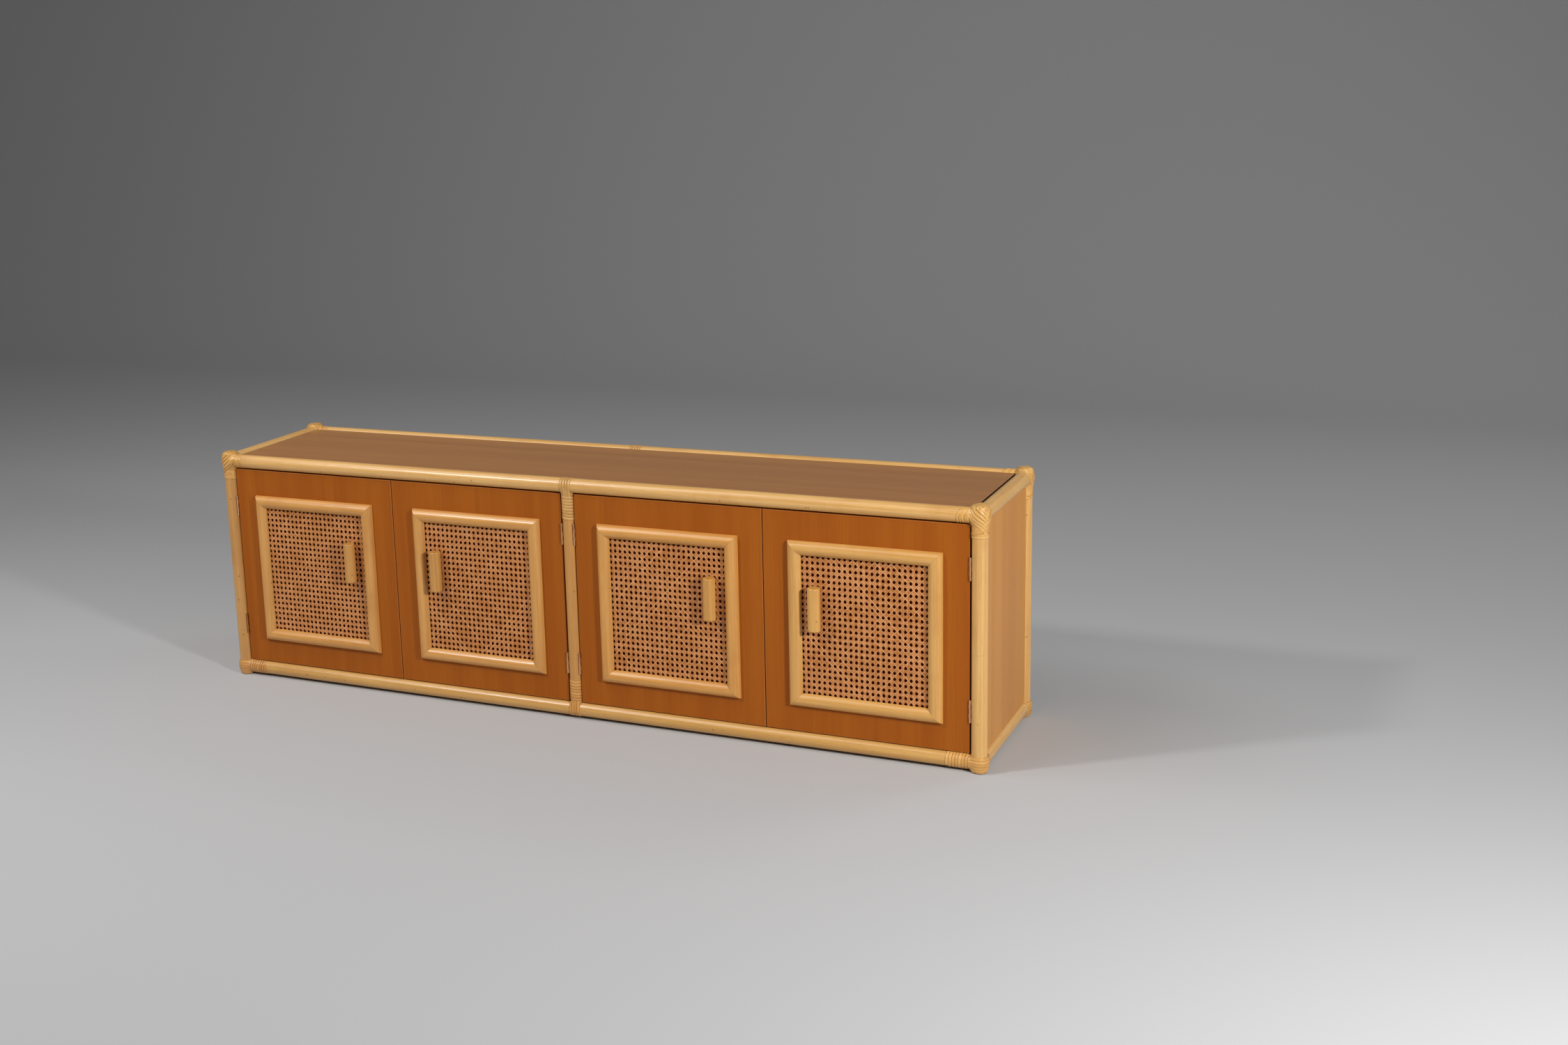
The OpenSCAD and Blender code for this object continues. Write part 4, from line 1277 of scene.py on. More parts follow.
    def knot(self) -> list[tuple[float, list[Waypoint]]]:
        """Lists the laid strips in the corner's frame.

        Returns:
            The width and the waypoints of each strip.
        """
        if self.level is Level.BOTTOM:
            bands = [
                [(21, -17, c, 0.4), (9, -17.4, c + 0.5, 0.4), (-8, -15.5, c + 0.8, 0.4), (-15.5, -8, c + 0.8, 0.4),
                 (-17.4, 8, c, 0.4), (-17, 17, c - 1, 0.3), (-12, 24, c - 2, -0.3)]
                for c in (-11.0, -4.6, 1.8, 8.2, 14.4)
            ]
            loop = [(-17.1 * math.cos(t), 21.0 + 1.2 * t, -17.1 * math.sin(t), 0.8) for t in np.linspace(-2.2, 3.4, 15)]
            return [*((6.3, band) for band in bands), (4.0, loop)]
        smooth = self.side is Side.LEFT and self.row is Row.FRONT
        lift = 0.3 if smooth else 0.6
        strips = [(5.0, self.ring(-15 - 4.35 * step, 5.0, lift)) for step in range(6)]
        strips += [(4.6, self.ring(-45.3, 1.0, lift)), (4.6, self.ring(-41.6, 1.2, lift + 0.05))]
        for number in range(6):
            near = self.band(number)
            mirrored = [(b, a, c - 4.2, 0.6 * lift) for a, b, c, lift in near]
            strips += [(6.2, near), (6.2, mirrored)]
        strips.append((5.0, self.ring(-39.0, 10.5, 0.35 if smooth else 1.2, crest=52.0, power=2)))
        width = 5.4 if self.row is Row.FRONT else 3.9
        flat = 0.6 if smooth else 1.0
        strips += [(width, [(a, b, c, lift * flat) for a, b, c, lift in way])
                   for number in range(self.fan_count) for way in self.fan(number)]
        if self.row is Row.REAR:
            strips.append((4.5, [(17.1 * math.cos(t), 24 + 1.5 * math.sin(t), 17.1 * math.sin(t), 0.6)
                                 for t in np.linspace(-2.4, 3.9, 21)]))
        return strips

    def strips(self) -> list[bpy.types.Mesh]:
        """Lays the strips on the poles.

        Returns:
            One mesh for each width of strip, in the row frame.
        """
        shape = self.shape()
        dice = np.random.default_rng(self.side.value * 4 + self.row.value * 2 + self.level.value + 11)
        laid = []
        for width, waypoints in self.knot():
            way = np.array(waypoints, float)
            way[:, :3] += dice.normal(0, self.scatter, (len(way), 3))
            path = self.smooth_path(way)
            laid.append((width, shape.settle(path[:, :3], path[:, 3])))
        meshes = []
        for width in sorted({width for width, _ in laid}):
            chosen = [path for size, path in laid if size == width]
            mesh = path_mesh(
                [self.to_row(path) for path in chosen],
                [shape.outwards(path) * self.signs for path in chosen],
                [float(dice.uniform(0.0, 1.0)) for _ in chosen],
            )
            values = {"Strip Width": width * MM, "Strip Thickness": self.laid_t, "Material": self.strip}
            meshes.append(run_tree(self.trees.laid, values, mesh))
        return meshes

    @staticmethod
    def smooth_path(way: np.ndarray) -> np.ndarray:
        """Draws a smooth path through waypoints, with a point about every millimetre.

        Args:
            way: The waypoints, each with its lift.

        Returns:
            The path, each point with its lift.
        """
        padded = np.vstack([2 * way[0] - way[1], way, 2 * way[-1] - way[-2]])
        pieces = []
        for i in range(1, len(padded) - 2):
            before, start, end, after = padded[i - 1 : i + 3]
            t = np.linspace(0, 1, 24, endpoint=False)[:, None]
            pieces.append(0.5 * (2 * start + (end - before) * t + (2 * before - 5 * start + 4 * end - after) * t**2
                                 + (3 * start - 3 * end + after - before) * t**3))
        dense = np.vstack([*pieces, way[-1:]])
        length = np.concatenate([[0], np.cumsum(np.linalg.norm(np.diff(dense[:, :3], axis=0), axis=1))])
        even = np.linspace(0, length[-1], max(8, int(length[-1])))
        return np.stack([np.interp(even, length, column) for column in dense.T], 1)

    def turns(self) -> list[bpy.types.Mesh]:
        """Winds the strip round the long rail beside the post at the bottom; at the top the fan binds it.

        Returns:
            The winding, in the row frame.
        """
        if self.level is Level.TOP:
            return []
        rail = run_tree(self.trees.turns, {
            "Pole Radius": self.poles.rail_r + TURN_LIFT, "Turns": self.rail_turns + self.last_turn,
            "Pitch": self.pitch, "Strip Width": self.strip_w, "Strip Thickness": self.strip_t,
            "Seed": 7 + self.side.value, "Material": self.strip})
        start = self.poles.post_r + self.cap_t + self.gap + self.strip_w / 2
        x, y, z = self.crossing
        place = Matrix.Translation((x - self.side.value * start, y, z))
        rail.transform(place @ Matrix.Rotation(-self.side.value * math.pi / 2, 4, "Y"))
        return [rail]

    def build(self) -> bpy.types.Object:
        """Builds the corner's lashing and puts it in its solid's place.

        Returns:
            The piece.
        """
        piece = join_meshes(f"{self.name}_lashing", [self.core_mesh(), *self.strips(), *self.turns()])
        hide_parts(f"{self.name}_wrap")
        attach(piece, "cabinet")
        return piece


@dataclass
class MiddleLashing:
    """The lashing at one end of a middle post: straps over the rail and turns round the post."""

    poles: PoleFrame
    trees: Trees
    strip: bpy.types.Material
    row: Row
    level: Level
    turns: int
    strip_w: float = 7.0 * MM
    strip_t: float = 0.9 * MM
    pitch: float = 7.2 * MM
    straps: int = 4
    strap_t: float = 1.5 * MM
    tuck: float = 3.0 * MM
    gap: float = 0.5 * MM
    room: float = 3.0 * MM
    drawn_in: float = 0.84
    seat_lift: float = 0.15 * MM
    end_bite: float = 0.3 * MM

    @property
    def name(self) -> str:
        """The stem of the node and piece names."""
        return f"{self.row.name}_middle_{self.level.name}".lower()

    def strap_rows(self) -> bpy.types.Mesh:
        """Lays the straps over the rail, their ends drawn together on the post where the turns hold them.

        Returns:
            The straps, with the rail's middle as origin.
        """
        radius, post = self.poles.rail_r + self.strap_t * 0.4, self.poles.mid_r
        drop = self.turns_start + self.tuck
        paths, facings = [], []
        for number in range(self.straps):
            aside = (number - (self.straps - 1) / 2) * self.pitch
            end = aside * self.drawn_in
            deep = math.sqrt(post**2 - end**2)
            seat = Vector((deep + self.seat_lift, -self.turns_start))
            lean = math.atan2(seat.y, seat.x) + math.acos(min(1.0, radius / seat.length))
            arc = np.linspace(lean, math.pi - lean, 31)
            over = [(aside, radius * math.cos(t), radius * math.sin(t)) for t in arc]
            ends = [(end, deep - self.end_bite, -drop), (end, seat.x, seat.y)]
            back = [(x, -y, z) for x, y, z in reversed(ends)]
            paths.append(np.array([*ends, *over, *back]))
            out = [(end / post, deep / post, 0.0)] * 2
            behind = [(x, -y, z) for x, y, z in out]
            facings.append(np.array([*out, *((0.0, math.cos(t), math.sin(t)) for t in arc), *behind]))
        dice = np.random.default_rng(31 + self.row.value)
        mesh = path_mesh(paths, facings, [float(dice.uniform(0.2, 1.0)) for _ in paths])
        values = {"Strip Width": self.strip_w, "Strip Thickness": self.strap_t, "Material": self.strip}
        return run_tree(self.trees.laid, values, mesh)

    @property
    def turns_start(self) -> float:
        """How far from the rail's middle the turns begin."""
        return self.poles.rail_r + TURN_LIFT + self.strip_t + self.gap + self.room

    @property
    def start_turn(self) -> float:
        """Where round the post the turns begin: a quarter turn before the side that is seen."""
        return math.pi if (self.row is Row.FRONT) == (self.level is Level.TOP) else 0.0

    def build(self) -> bpy.types.Object:
        """Builds the lashing and puts it in its solid's place.

        Returns:
            The piece.
        """
        place = Matrix.Translation((0.0, self.poles.row_y(self.row), self.poles.rail_z(self.level)))
        flip = Matrix.Rotation(0.0 if self.level is Level.TOP else math.pi, 4, "X")
        straps = self.strap_rows()
        straps.transform(place @ flip)
        coil = run_tree(self.trees.turns, {
            "Pole Radius": self.poles.mid_r + TURN_LIFT, "Turns": float(self.turns), "Pitch": self.pitch,
            "Strip Width": self.strip_w, "Strip Thickness": self.strip_t, "Seed": 9 + self.level.value,
            "Material": self.strip})
        coil.transform(place @ flip @ Matrix.Translation((0, 0, -self.turns_start - self.strip_w / 2))
                       @ Matrix.Rotation(math.pi, 4, "X") @ Matrix.Rotation(self.start_turn, 4, "Z"))
        piece = join_meshes(f"{self.name}_lashing", [straps, coil])
        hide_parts(f"{self.name}_wrap")
        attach(piece, "cabinet")
        return piece


# Doors


@dataclass
class Door:
    """One door: eased veneered panel, mitred half-round mouldings and cane webbing."""

    number: int
    trees: Trees
    veneer: bpy.types.Material
    edge: bpy.types.Material
    moulding: bpy.types.Material
    strand: bpy.types.Material
    # the dark sheet of painted shade under the webbing
    ground: bpy.types.Material
    ease: float = 0.9 * MM
    hinge_in: float = 71 * MM
    hinge_h: float = 52 * MM
    leaf_t: float = 1.2 * MM
    leaf_reach: float = 12.4 * MM
    mould_w: float = 33 * MM
    mould_h: float = 15.5 * MM
    cane_t: float = 2.6 * MM
    cane_lap: float = 6 * MM
    mitre_gap: float = 0.12 * MM
    pitch: tuple[float, float] = (12.45 * MM, 13.75 * MM)
    strand_w: float = 2.6 * MM
    screw_rise: float = 32 * MM
    bore_r: float = 4.1 * MM
    bore_depth: float = 4.9 * MM
    swell: float = 0.012
    swell_reach: float = 4 * MM
    stations: int = 33
    trim: float = 0.3 * MM

    @property
    def body(self) -> str:
        """The door's body."""
        return f"door_{self.number}"

    @property
    def hinge_side(self) -> int:
        """The side of the door's hinges along X."""
        return -1 if self.number in (1, 3) else 1

    def panel(self) -> bpy.types.Object:
        """Builds the panel with eased edges, mortises for its hinge leaves and sunk screw holes.

        Returns:
            The piece.
        """
        low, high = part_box(f"{self.body}_panel")
        block = bmesh.new()
        add_block(block, (low + high) / 2, high - low)
        bmesh.ops.bevel(block, geom=block.edges[:], offset=self.ease, segments=3, profile=0.5, affect="EDGES")
        carrier = add_object("panel", shell_mesh(block, "panel"))
        cutter = add_object("cutter", self.cutter_mesh(low, high))
        cut = carrier.modifiers.new("cut", "BOOLEAN")
        cut.operation, cut.solver, cut.object = "DIFFERENCE", "EXACT", cutter
        mesh = finished_mesh(carrier)
        bpy.data.objects.remove(cutter)
        mesh.materials.clear()
        mesh.materials.append(self.veneer)
        mesh.materials.append(self.edge)
        # the eased edges take the paler edge veneer, a painted highlight where they catch the light
        for polygon in mesh.polygons:  # the eased edges lean from the axes
            polygon.material_index = int(max(abs(c) for c in polygon.normal) < 0.995)
        piece = add_object(f"{self.body}_eased_panel", mesh)
        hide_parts(f"{self.body}_panel")
        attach(piece, self.body)
        return piece

    def cutter_mesh(self, low: Vector, high: Vector) -> bpy.types.Mesh:
        """Builds what is cut from the panel: two hinge mortises and two screw counterbores.

        Args:
            low: The panel's lowest corner.
            high: The panel's highest corner.

        Returns:
            The cutter.
        """
        cutter = bmesh.new()
        edge_x = low.x if self.hinge_side < 0 else high.x
        for z in (low.z + self.hinge_in, high.z - self.hinge_in - self.hinge_h):
            centre = Vector((edge_x, low.y + self.leaf_reach / 2 - 1 * MM, z + self.hinge_h / 2))
            add_block(cutter, centre, (2 * self.leaf_t, self.leaf_reach + 2 * MM, self.hinge_h))
        handle_low, handle_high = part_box(f"{self.body}_handle")
        middle = (handle_low + handle_high) / 2
        for step in (-self.screw_rise, self.screw_rise):
            place = Matrix.Translation((middle.x, high.y, middle.z + step)) @ Matrix.Rotation(math.pi / 2, 4, "X")
            add_rod(cutter, self.bore_r, self.bore_depth, place, 24)
        return shell_mesh(cutter, "cutter")

    def profile(self) -> list[tuple[float, float]]:
        """Draws the moulding's section: from its outer edge over the crown to the rebate, in width and height.

        Returns:
            The section's points.
        """
        radius = ((self.mould_w / 2) ** 2 + self.mould_h**2) / (2 * self.mould_h)
        centre = self.mould_h - radius
        start = math.asin(-centre / radius)
        angles = np.linspace(math.pi - start, start, 19)
        crown = [(self.mould_w / 2 + radius * math.cos(t), centre + radius * math.sin(t)) for t in angles]
        crown = [(w, h) for w, h in crown if not (w > self.mould_w / 2 and h < self.cane_t)]
        inner = self.mould_w - self.cane_lap
        return [*crown, (crown[-1][0], self.cane_t), (inner, self.cane_t), (inner, 0.0)]

    def mouldings(self) -> bpy.types.Object:
        """Builds the four mitred mouldings, each with its fibres along it.

        Returns:
            The piece.
        """
        low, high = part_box(f"{self.body}_frame")
        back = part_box(f"{self.body}_panel")[0].y
        section = self.profile()
        girths = [0.0, *np.cumsum([math.dist(*pair) for pair in zip(section, section[1:])])]
        points, faces, lay = [], [], []
        dice = np.random.default_rng(100 + self.number)
        count = len(section)
        for turn in range(4):
            length = (high.x - low.x) if turn % 2 == 0 else (high.z - low.z)
            seed = float(dice.uniform(0, 3))
            nodes = dice.uniform(0.1, 0.9, 2) * length
            base = len(points)
            for t in np.linspace(0, 1, self.stations):
                for (w, h), girth in zip(section, girths):
                    reach = w + self.mitre_gap
                    s = reach + t * (length - 2 * reach)
                    near = sum(math.exp(-(((s - node) / self.swell_reach) ** 2)) for node in nodes)
                    rise = h * (1 + self.swell * near) if h > self.cane_t else h
                    points.append(self.mould_point(turn, s, w, rise, low, high, back))
                    lay.append((girth, seed, s + seed))
            for start in range(base, len(points) - count, count):
                for i in range(count):
                    a, b = start + i, start + (i + 1) % count
                    faces.append((a, b, b + count, a + count))
            faces.append(tuple(range(base, base + count)))
            faces.append(tuple(reversed(range(len(points) - count, len(points)))))
        mesh = mesh_from(np.array(points), faces, f"{self.body}_mouldings")
        add_attribute(mesh, LAY, np.array(lay))
        point_outwards(mesh)
        mesh.materials.append(self.moulding)
        mesh.shade_smooth()
        mesh.set_sharp_from_angle(angle=math.radians(50))
        piece = add_object(f"{self.body}_mouldings", mesh)
        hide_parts(f"{self.body}_frame")
        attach(piece, self.body)
        return piece

    @staticmethod
    def mould_point(turn: int, s: float, w: float, h: float, low: Vector, high: Vector, back: float) -> tuple:
        """Places a point of a moulding.

        Args:
            turn: Which moulding: bottom, right, top or left.
            s: How far along it.
            w: How far in from its outer edge.
            h: How far in front of the door's face.
            low: The frame's lowest corner.
            high: The frame's highest corner.
            back: The depth of the door's face.

        Returns:
            The point in the row frame.
        """
        places = ((low.x + s, low.z + w), (high.x - w, low.z + s), (high.x - s, high.z - w), (low.x + w, high.z - s))
        x, z = places[turn]
        return (x, back - h, z)

    def webbing(self) -> bpy.types.Object:
        """Weaves the cane webbing over a dark sheet of painted shade.

        Returns:
            The piece.
        """
        low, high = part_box(f"{self.body}_cane")
        half_w, half_h = (high.x - low.x) / 2, (high.z - low.z) / 2
        columns = round(2 * half_w / self.pitch[0])
        rows = round(2 * half_h / self.pitch[1])
        step_x, step_z = 2 * half_w / columns, 2 * half_h / rows
        slope = math.atan2(step_z, step_x)
        across = step_z * math.cos(slope)
        cell = math.hypot(step_x, step_z)
        reach = 2 * math.hypot(half_w, half_h)
        shared = {"Half Width": half_w - self.trim, "Half Height": half_h - self.trim,
                  "Strand Thickness": 0.55 * MM, "Material": self.strand}
        weft = {**shared, "Length": 2 * half_w, "Rows": rows + 1, "Spacing": step_z, "Pair": 2, "Pair Gap": 2.95 * MM,
                "Wave Length": 2 * step_x, "Wave Height": 0.28 * MM, "Steps": columns * 4 + 1, "Lift": 0.95 * MM,
                "Strand Width": self.strand_w, "Seed": 10 + self.number}
        warp = {**weft, "Length": 2 * half_h, "Rows": columns + 1, "Spacing": step_x, "Angle": math.pi / 2,
                "Wave Length": 2 * step_z, "Wave Height": -0.28 * MM, "Steps": rows * 4 + 1, "Seed": 20 + self.number}
        lines = 2 * int(reach / across / 2) + (columns + rows) % 2
        diagonal = {**shared, "Length": reach, "Rows": lines, "Spacing": across, "Pair": 1, "Wave Length": cell,
                    "Wave Height": 0.25 * MM, "Steps": int(reach / cell * 4) + 1, "Strand Width": self.strand_w * 0.92}
        rising = {**diagonal, "Angle": slope, "Lift": 1.5 * MM, "Seed": 30 + self.number}
        falling = {**diagonal, "Angle": -slope, "Lift": 1.62 * MM, "Seed": 40 + self.number}
        meshes = [run_tree(self.trees.strands, values) for values in (weft, warp, rising, falling)]
        middle = Matrix.Translation(((low.x + high.x) / 2, high.y, (low.z + high.z) / 2))
        for mesh in meshes:
            mesh.transform(middle @ Matrix.Rotation(math.pi / 2, 4, "X"))
        piece = join_meshes(f"{self.body}_webbing", [*meshes, self.shade_ground_mesh(low, high)])
        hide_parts(f"{self.body}_cane")
        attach(piece, self.body)
        return piece

    def shade_ground_mesh(self, low: Vector, high: Vector) -> bpy.types.Mesh:
        """Builds the thin dark sheet under the webbing: painted shade that shows through its holes.

        Args:
            low: The webbing's lowest corner.
            high: The webbing's highest corner.

        Returns:
            The cloth.
        """
        sheet = bmesh.new()
        centre = Vector(((low.x + high.x) / 2, high.y - 0.2 * MM, (low.z + high.z) / 2))
        add_block(sheet, centre, (high.x - low.x, 0.3 * MM, high.z - low.z))
        mesh = shell_mesh(sheet, "ground")
        mesh.materials.append(self.ground)
        return mesh

    def build(self) -> list[bpy.types.Object]:
        """Builds the door's pieces.

        Returns:
            The panel, the mouldings and the webbing.
        """
        return [self.panel(), self.mouldings(), self.webbing()]


# Solids that keep their shape


@dataclass
class Dresser:
    """Gives the finishes to the CAD nodes that are shown as they are."""

    nodes: dict[str, bpy.types.Object]
    effects: Effects
    # painted shade for pieces that get less light: the left and middle posts, the bottom rail, and the handles, darkest
    # on the left
    painted_shades: dict[str, Colour] = field(default_factory=lambda: {
        "front_middle_post": (0.80, 0.68, 0.54, 1.0),
        "front_left_post": (0.80, 0.71, 0.62, 1.0),
        "front_bottom_rail": (0.87, 0.83, 0.70, 1.0),
        "door_1_handle": (0.81, 0.69, 0.50, 1.0),
        "door_2_handle": (0.81, 0.69, 0.50, 1.0),
        "door_3_handle": (0.88, 0.78, 0.57, 1.0),
        "door_4_handle": (0.96, 0.91, 0.74, 1.0),
    })

    def dress(self, finish: Finish, names: list[str]) -> None:
        """Puts one finish on some nodes.

        Args:
            finish: The finish.
            names: The nodes' names.
        """
        material = finish.material()
        for name in names:
            mesh = self.nodes[name].data
            mesh.materials.clear()
            mesh.materials.append(material)
            LOG.info("dressed %s with %s", name, material.name)

    def dress_poles(self) -> None:
        """Finishes the posts, the rails and the handles."""
        for number, name in enumerate(sorted(self.nodes)):
            if not name.endswith(("_post", "_rail", "_handle")):
                continue
            grain = Grain.Z
            if name.endswith("_rail"):
                grain = Grain.Y if name.startswith(("left", "right")) else Grain.X
            low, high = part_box(name)
            finish = PoleFinish(
                f"rattan_{name}", self.effects, grain, seed=number * 1.37, painted_shade=self.painted_shades.get(name, PLAIN),
                centre=tuple((low + high) / 2), ends=(low.z, high.z) if name.endswith("_handle") else None,
            )
            self.dress(finish, [name])

    def dress_panels(self) -> None:
        """Finishes the veneered panels, the partition, the shelves and the back."""
        # its ends beside the side rails are painted dark: painted shade in the gaps
        top = VeneerFinish("top_veneer", self.effects, Grain.X, srgb(173, 119, 68), srgb(163, 109, 62),
                           srgb(141, 91, 51), seed=2.0, roughness=0.42, streaks=0.35, painted_gap_shade=0.9643)
        side = VeneerFinish("side_veneer", self.effects, Grain.Z, srgb(206, 144, 74), srgb(196, 132, 65),
                            srgb(182, 116, 56), seed=5.0, coat=0.0, specular=0.25, streaks=0.35)
        inner = VeneerFinish("inner_veneer", self.effects, Grain.X, srgb(190, 140, 92), srgb(174, 122, 76),
                             srgb(140, 92, 56), seed=9.0, roughness=0.5, coat=0.0)
        upright = replace(inner, name="partition_veneer", grain=Grain.Z, seed=12.0)
        self.dress(top, ["top_panel"])
        self.dress(side, ["left_side_panel", "right_side_panel"])
        self.dress(inner, ["bottom_panel", "left_shelf", "right_shelf"])
        self.dress(upright, ["left_back_panel", "right_back_panel", "partition"])

    def dress_hardware(self) -> None:
        """Finishes hinges, pins, screws and catches."""
        brass = MetalFinish("hinge_brass", self.effects, srgb(236, 194, 150), srgb(176, 122, 74), 0.22)
        steel = MetalFinish("screw_steel", self.effects, srgb(196, 196, 198), srgb(150, 150, 152), 0.36)
        plastic = PlasticFinish("catch_plastic", self.effects, srgb(112, 72, 42), srgb(92, 58, 34))
        fittings = [f"door_{number}_fittings" for number in range(1, 5)]
        self.dress(brass, ["post_hinge_leaves", "hinge_pins", "shelf_pins", *fittings])
        self.dress(steel, ["fixing_screws"])
        self.dress(plastic, ["magnetic_catches"])


# Studio


@dataclass
class Studio:
    """The camera, the lamps, the floor with its backdrop, and the world."""

    camera_place: tuple[float, float, float] = (1.9948, -3.9120, 1.5439)
    yaw: float = math.radians(27.219)
    pitch: float = math.radians(-12.479)
    roll: float = math.radians(-2.379)
    focal_px: float = 2656.2
    centre_px: tuple[float, float] = (854.5, 675.1)
    frame_px: tuple[int, int] = (2250, 1500)
    floor: Colour = (0.5, 0.5, 0.505, 1.0)

    def camera(self) -> None:
        """Sets up the camera at the photograph's viewing angle."""
        level = Vector((-math.sin(self.yaw), math.cos(self.yaw), 0.0))
        ahead = level * math.cos(self.pitch) + Vector((0.0, 0.0, math.sin(self.pitch)))
        right = Vector((math.cos(self.yaw), math.sin(self.yaw), 0.0))
        up = right.cross(ahead)
        turned_right = math.cos(self.roll) * right + math.sin(self.roll) * up
        turned_up = -math.sin(self.roll) * right + math.cos(self.roll) * up
        data = bpy.data.cameras.new("camera")
        width, height = self.frame_px
        data.sensor_width = 36.0
        data.lens = self.focal_px / width * data.sensor_width
        data.shift_x = (width / 2 - self.centre_px[0]) / width
        data.shift_y = (self.centre_px[1] - height / 2) / width
        data.clip_end = 100.0
        camera = add_object("camera", data)
        turn = Matrix((turned_right, turned_up, -ahead)).transposed().to_4x4()
        camera.matrix_world = Matrix.Translation(self.camera_place) @ turn
        bpy.context.scene.camera = camera

    def lamp(self, name: str, place: tuple, aim: tuple, size: tuple, power: float) -> None:
        """Hangs one soft lamp.

        Args:
            name: Its name.
            place: Where it hangs.
            aim: The point that it faces.
            size: Its width and height.
            power: Its power in watts.
        """
        data = bpy.data.lights.new(name, "AREA")
        data.shape = "RECTANGLE"
        data.size, data.size_y = size
        data.energy = power
        lamp = add_object(name, data)
        lamp.location = place
        lamp.rotation_euler = (Vector(aim) - Vector(place)).to_track_quat("-Z", "Y").to_euler()

    def lamps(self) -> None:
        """Hangs a soft lamp on each side of the camera, a long one overhead and a wide one at the rear."""
        self.lamp("left_lamp", (-2.15, -2.6, 3.0), (-0.4, 0.0, 0.3), (0.35, 0.35), 66.0)
        self.lamp("right_lamp", (3.2, -1.9, 1.65), (0.5, 0.0, 0.3), (0.33, 0.33), 86.0)
        self.lamp("overhead_lamp", (-1.3, -1.2, 3.2), (-0.6, 0.0, 0.4), (3.0, 0.6), 33.0)
        self.lamp("rear_lamp", (3.2, 3.0, 3.4), (0.2, 0.2, 0.2), (1.6, 1.2), 26.0)

    def backdrop(self) -> None:
        """Builds the floor, which curves up into a backdrop far behind."""
        near, bend, radius, top, half_width = -9.0, 4.0, 2.5, 9.0, 12.0
        arc = np.linspace(0.1, math.pi / 2, 16)
        curve = [(bend + radius * math.sin(t), radius - radius * math.cos(t)) for t in arc]
        profile = [(near, 0.0), (bend, 0.0), *curve, (bend + radius, top)]
        points = [(x, y, z) for y, z in profile for x in (-half_width, half_width)]
        faces = [(2 * i, 2 * i + 1, 2 * i + 3, 2 * i + 2) for i in range(len(profile) - 1)]
        mesh = mesh_from(np.array(points), faces, "floor")
        mesh.materials.append(StudioFinish("floor_paint", self.floor).material())
        mesh.shade_smooth()
        floor = add_object("floor", mesh)

    def world(self) -> None:
        """Fills the room with soft even light."""
        world = bpy.data.worlds.new("studio")
        world.use_nodes = True
        graph = Graph(world.node_tree)
        world.node_tree.nodes.clear()
        light = graph.node("ShaderNodeBackground", {"Color": (1.0, 0.985, 0.965, 1.0), "Strength": 0.15})
        graph.node("ShaderNodeOutputWorld", {"Surface": light.outputs[0]})
        bpy.context.scene.world = world

    def build(self) -> None:
        """Builds the studio."""
        self.camera()
        self.lamps()
        self.backdrop()
        self.world()
        bpy.context.scene.view_settings.view_transform = "Standard"


def log_piece(piece: bpy.types.Object) -> None:
    """Logs a piece that is built."""
    LOG.info("built %s, %d faces", piece.name, len(piece.data.polygons))


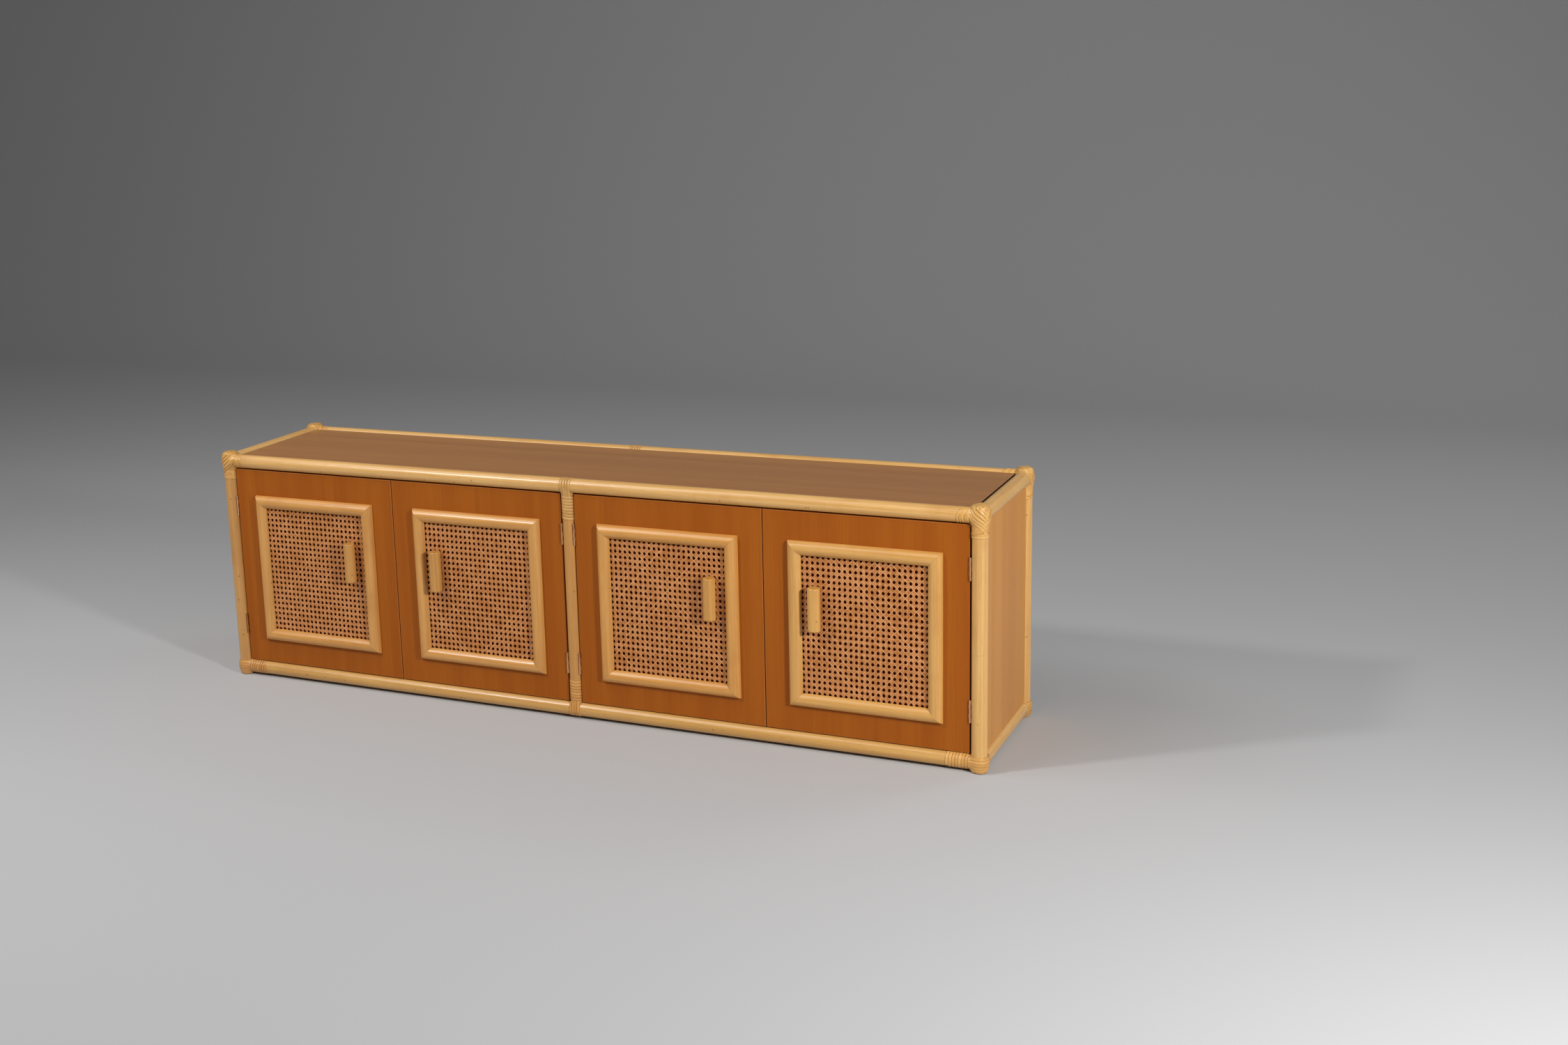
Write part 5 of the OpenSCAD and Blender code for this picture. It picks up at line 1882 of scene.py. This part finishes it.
def build_lashings(poles: PoleFrame, trees: Trees, effects: Effects) -> None:
    """Builds the twelve lashings.

    Args:
        poles: The poles' sizes.
        trees: The Geometry Nodes trees.
        effects: The shader groups.
    """
    # painted shade for the lashings that get less light: darker on the left and at the bottom
    painted_shades = {
        ("left", Level.TOP): (0.90, 0.84, 0.76, 1.0),
        ("left", Level.BOTTOM): (0.82, 0.69, 0.61, 1.0),
        ("middle", Level.TOP): (0.87, 0.86, 0.92, 1.0),
        ("middle", Level.BOTTOM): (0.87, 0.76, 0.68, 1.0),
        ("right", Level.BOTTOM): (0.95, 0.89, 0.83, 1.0),
    }
    strips = {}
    for level in Level:
        for place in ("left", "middle", "right"):
            name = f"cane_strip_{place}_{level.name}".lower()
            finish = StripFinish(name, effects, painted_shade=painted_shades.get((place, level), PLAIN))
            strips[place, level] = finish.material()
    core = PoleFinish("lashing_core", effects, Grain.Z, seed=40.0, pale=srgb(214, 164, 94), golden=srgb(198, 144, 74),
                      tan=srgb(172, 115, 54)).material()
    for level in Level:
        for row in Row:
            for side in Side:
                turns = 6 if row is Row.FRONT else 3
                strip = strips[side.name.lower(), level]
                log_piece(CornerLashing(poles, trees, strip, core, side, row, level, turns).build())
            turns = 8 if level is Level.TOP else 7
            log_piece(MiddleLashing(poles, trees, strips["middle", level], row, level, turns).build())


def build_doors(trees: Trees, effects: Effects) -> None:
    """Builds the four doors.

    Args:
        trees: The Geometry Nodes trees.
        effects: The shader groups.
    """
    # paler veneer on the eased door edges: a painted highlight where they catch the light
    edge = VeneerFinish("door_edge_highlight", effects, Grain.Z, srgb(188, 118, 62), srgb(174, 104, 52), srgb(150, 84, 38),
                        seed=21.0, specular=0.3).material()
    # the strands darken strongly at their edges: painted shade in the gaps between them
    strand = StripFinish("webbing_strand", effects, pale=srgb(228, 160, 103), golden=srgb(183, 111, 45),
                         dark=srgb(118, 51, 16), half_width=1.3 * MM, edge=0.8, roughness=0.4).material()
    # a dark sheet under the webbing: painted shade seen through its holes
    ground = PlasticFinish("painted_shade_ground", effects, srgb(58, 22, 8), srgb(40, 13, 4), roughness=0.95,
                           specular=0.0).material()
    # painted shade on each door's mouldings: darker on the left doors, lighter on door 4 where more light falls
    painted_shades = ((0.90, 0.76, 0.58, 1.0), (0.90, 0.76, 0.58, 1.0), (0.92, 0.77, 0.56, 1.0), (0.94, 0.88, 0.74, 1.0))
    for number, painted_shade in enumerate(painted_shades, 1):
        veneer = VeneerFinish(f"door_{number}_veneer", effects, Grain.Z, srgb(166, 92, 26), srgb(155, 82, 20),
                              srgb(138, 68, 14), seed=number * 4.1, roughness=0.45, coat=0.0, specular=0.2,
                              streaks=0.35).material()
        moulding = PoleFinish(f"rattan_moulding_{number}", effects, None, seed=number * 3.3, painted_shade=painted_shade,
                              joints_apart=NO_JOINTS).material()
        for piece in Door(number, trees, veneer, edge, moulding, strand, ground).build():
            log_piece(piece)


def main() -> None:
    """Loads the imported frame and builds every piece."""
    logging.basicConfig(level=logging.INFO, format="%(name)s: %(message)s")
    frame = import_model()
    Studio().build()
    effects = Effects()
    trees = Trees()
    dresser = Dresser(frame["nodes"], effects)
    dresser.dress_poles()
    dresser.dress_panels()
    dresser.dress_hardware()
    build_lashings(PoleFrame.measured(), trees, effects)
    build_doors(trees, effects)


if __name__ == "__main__":
    main()
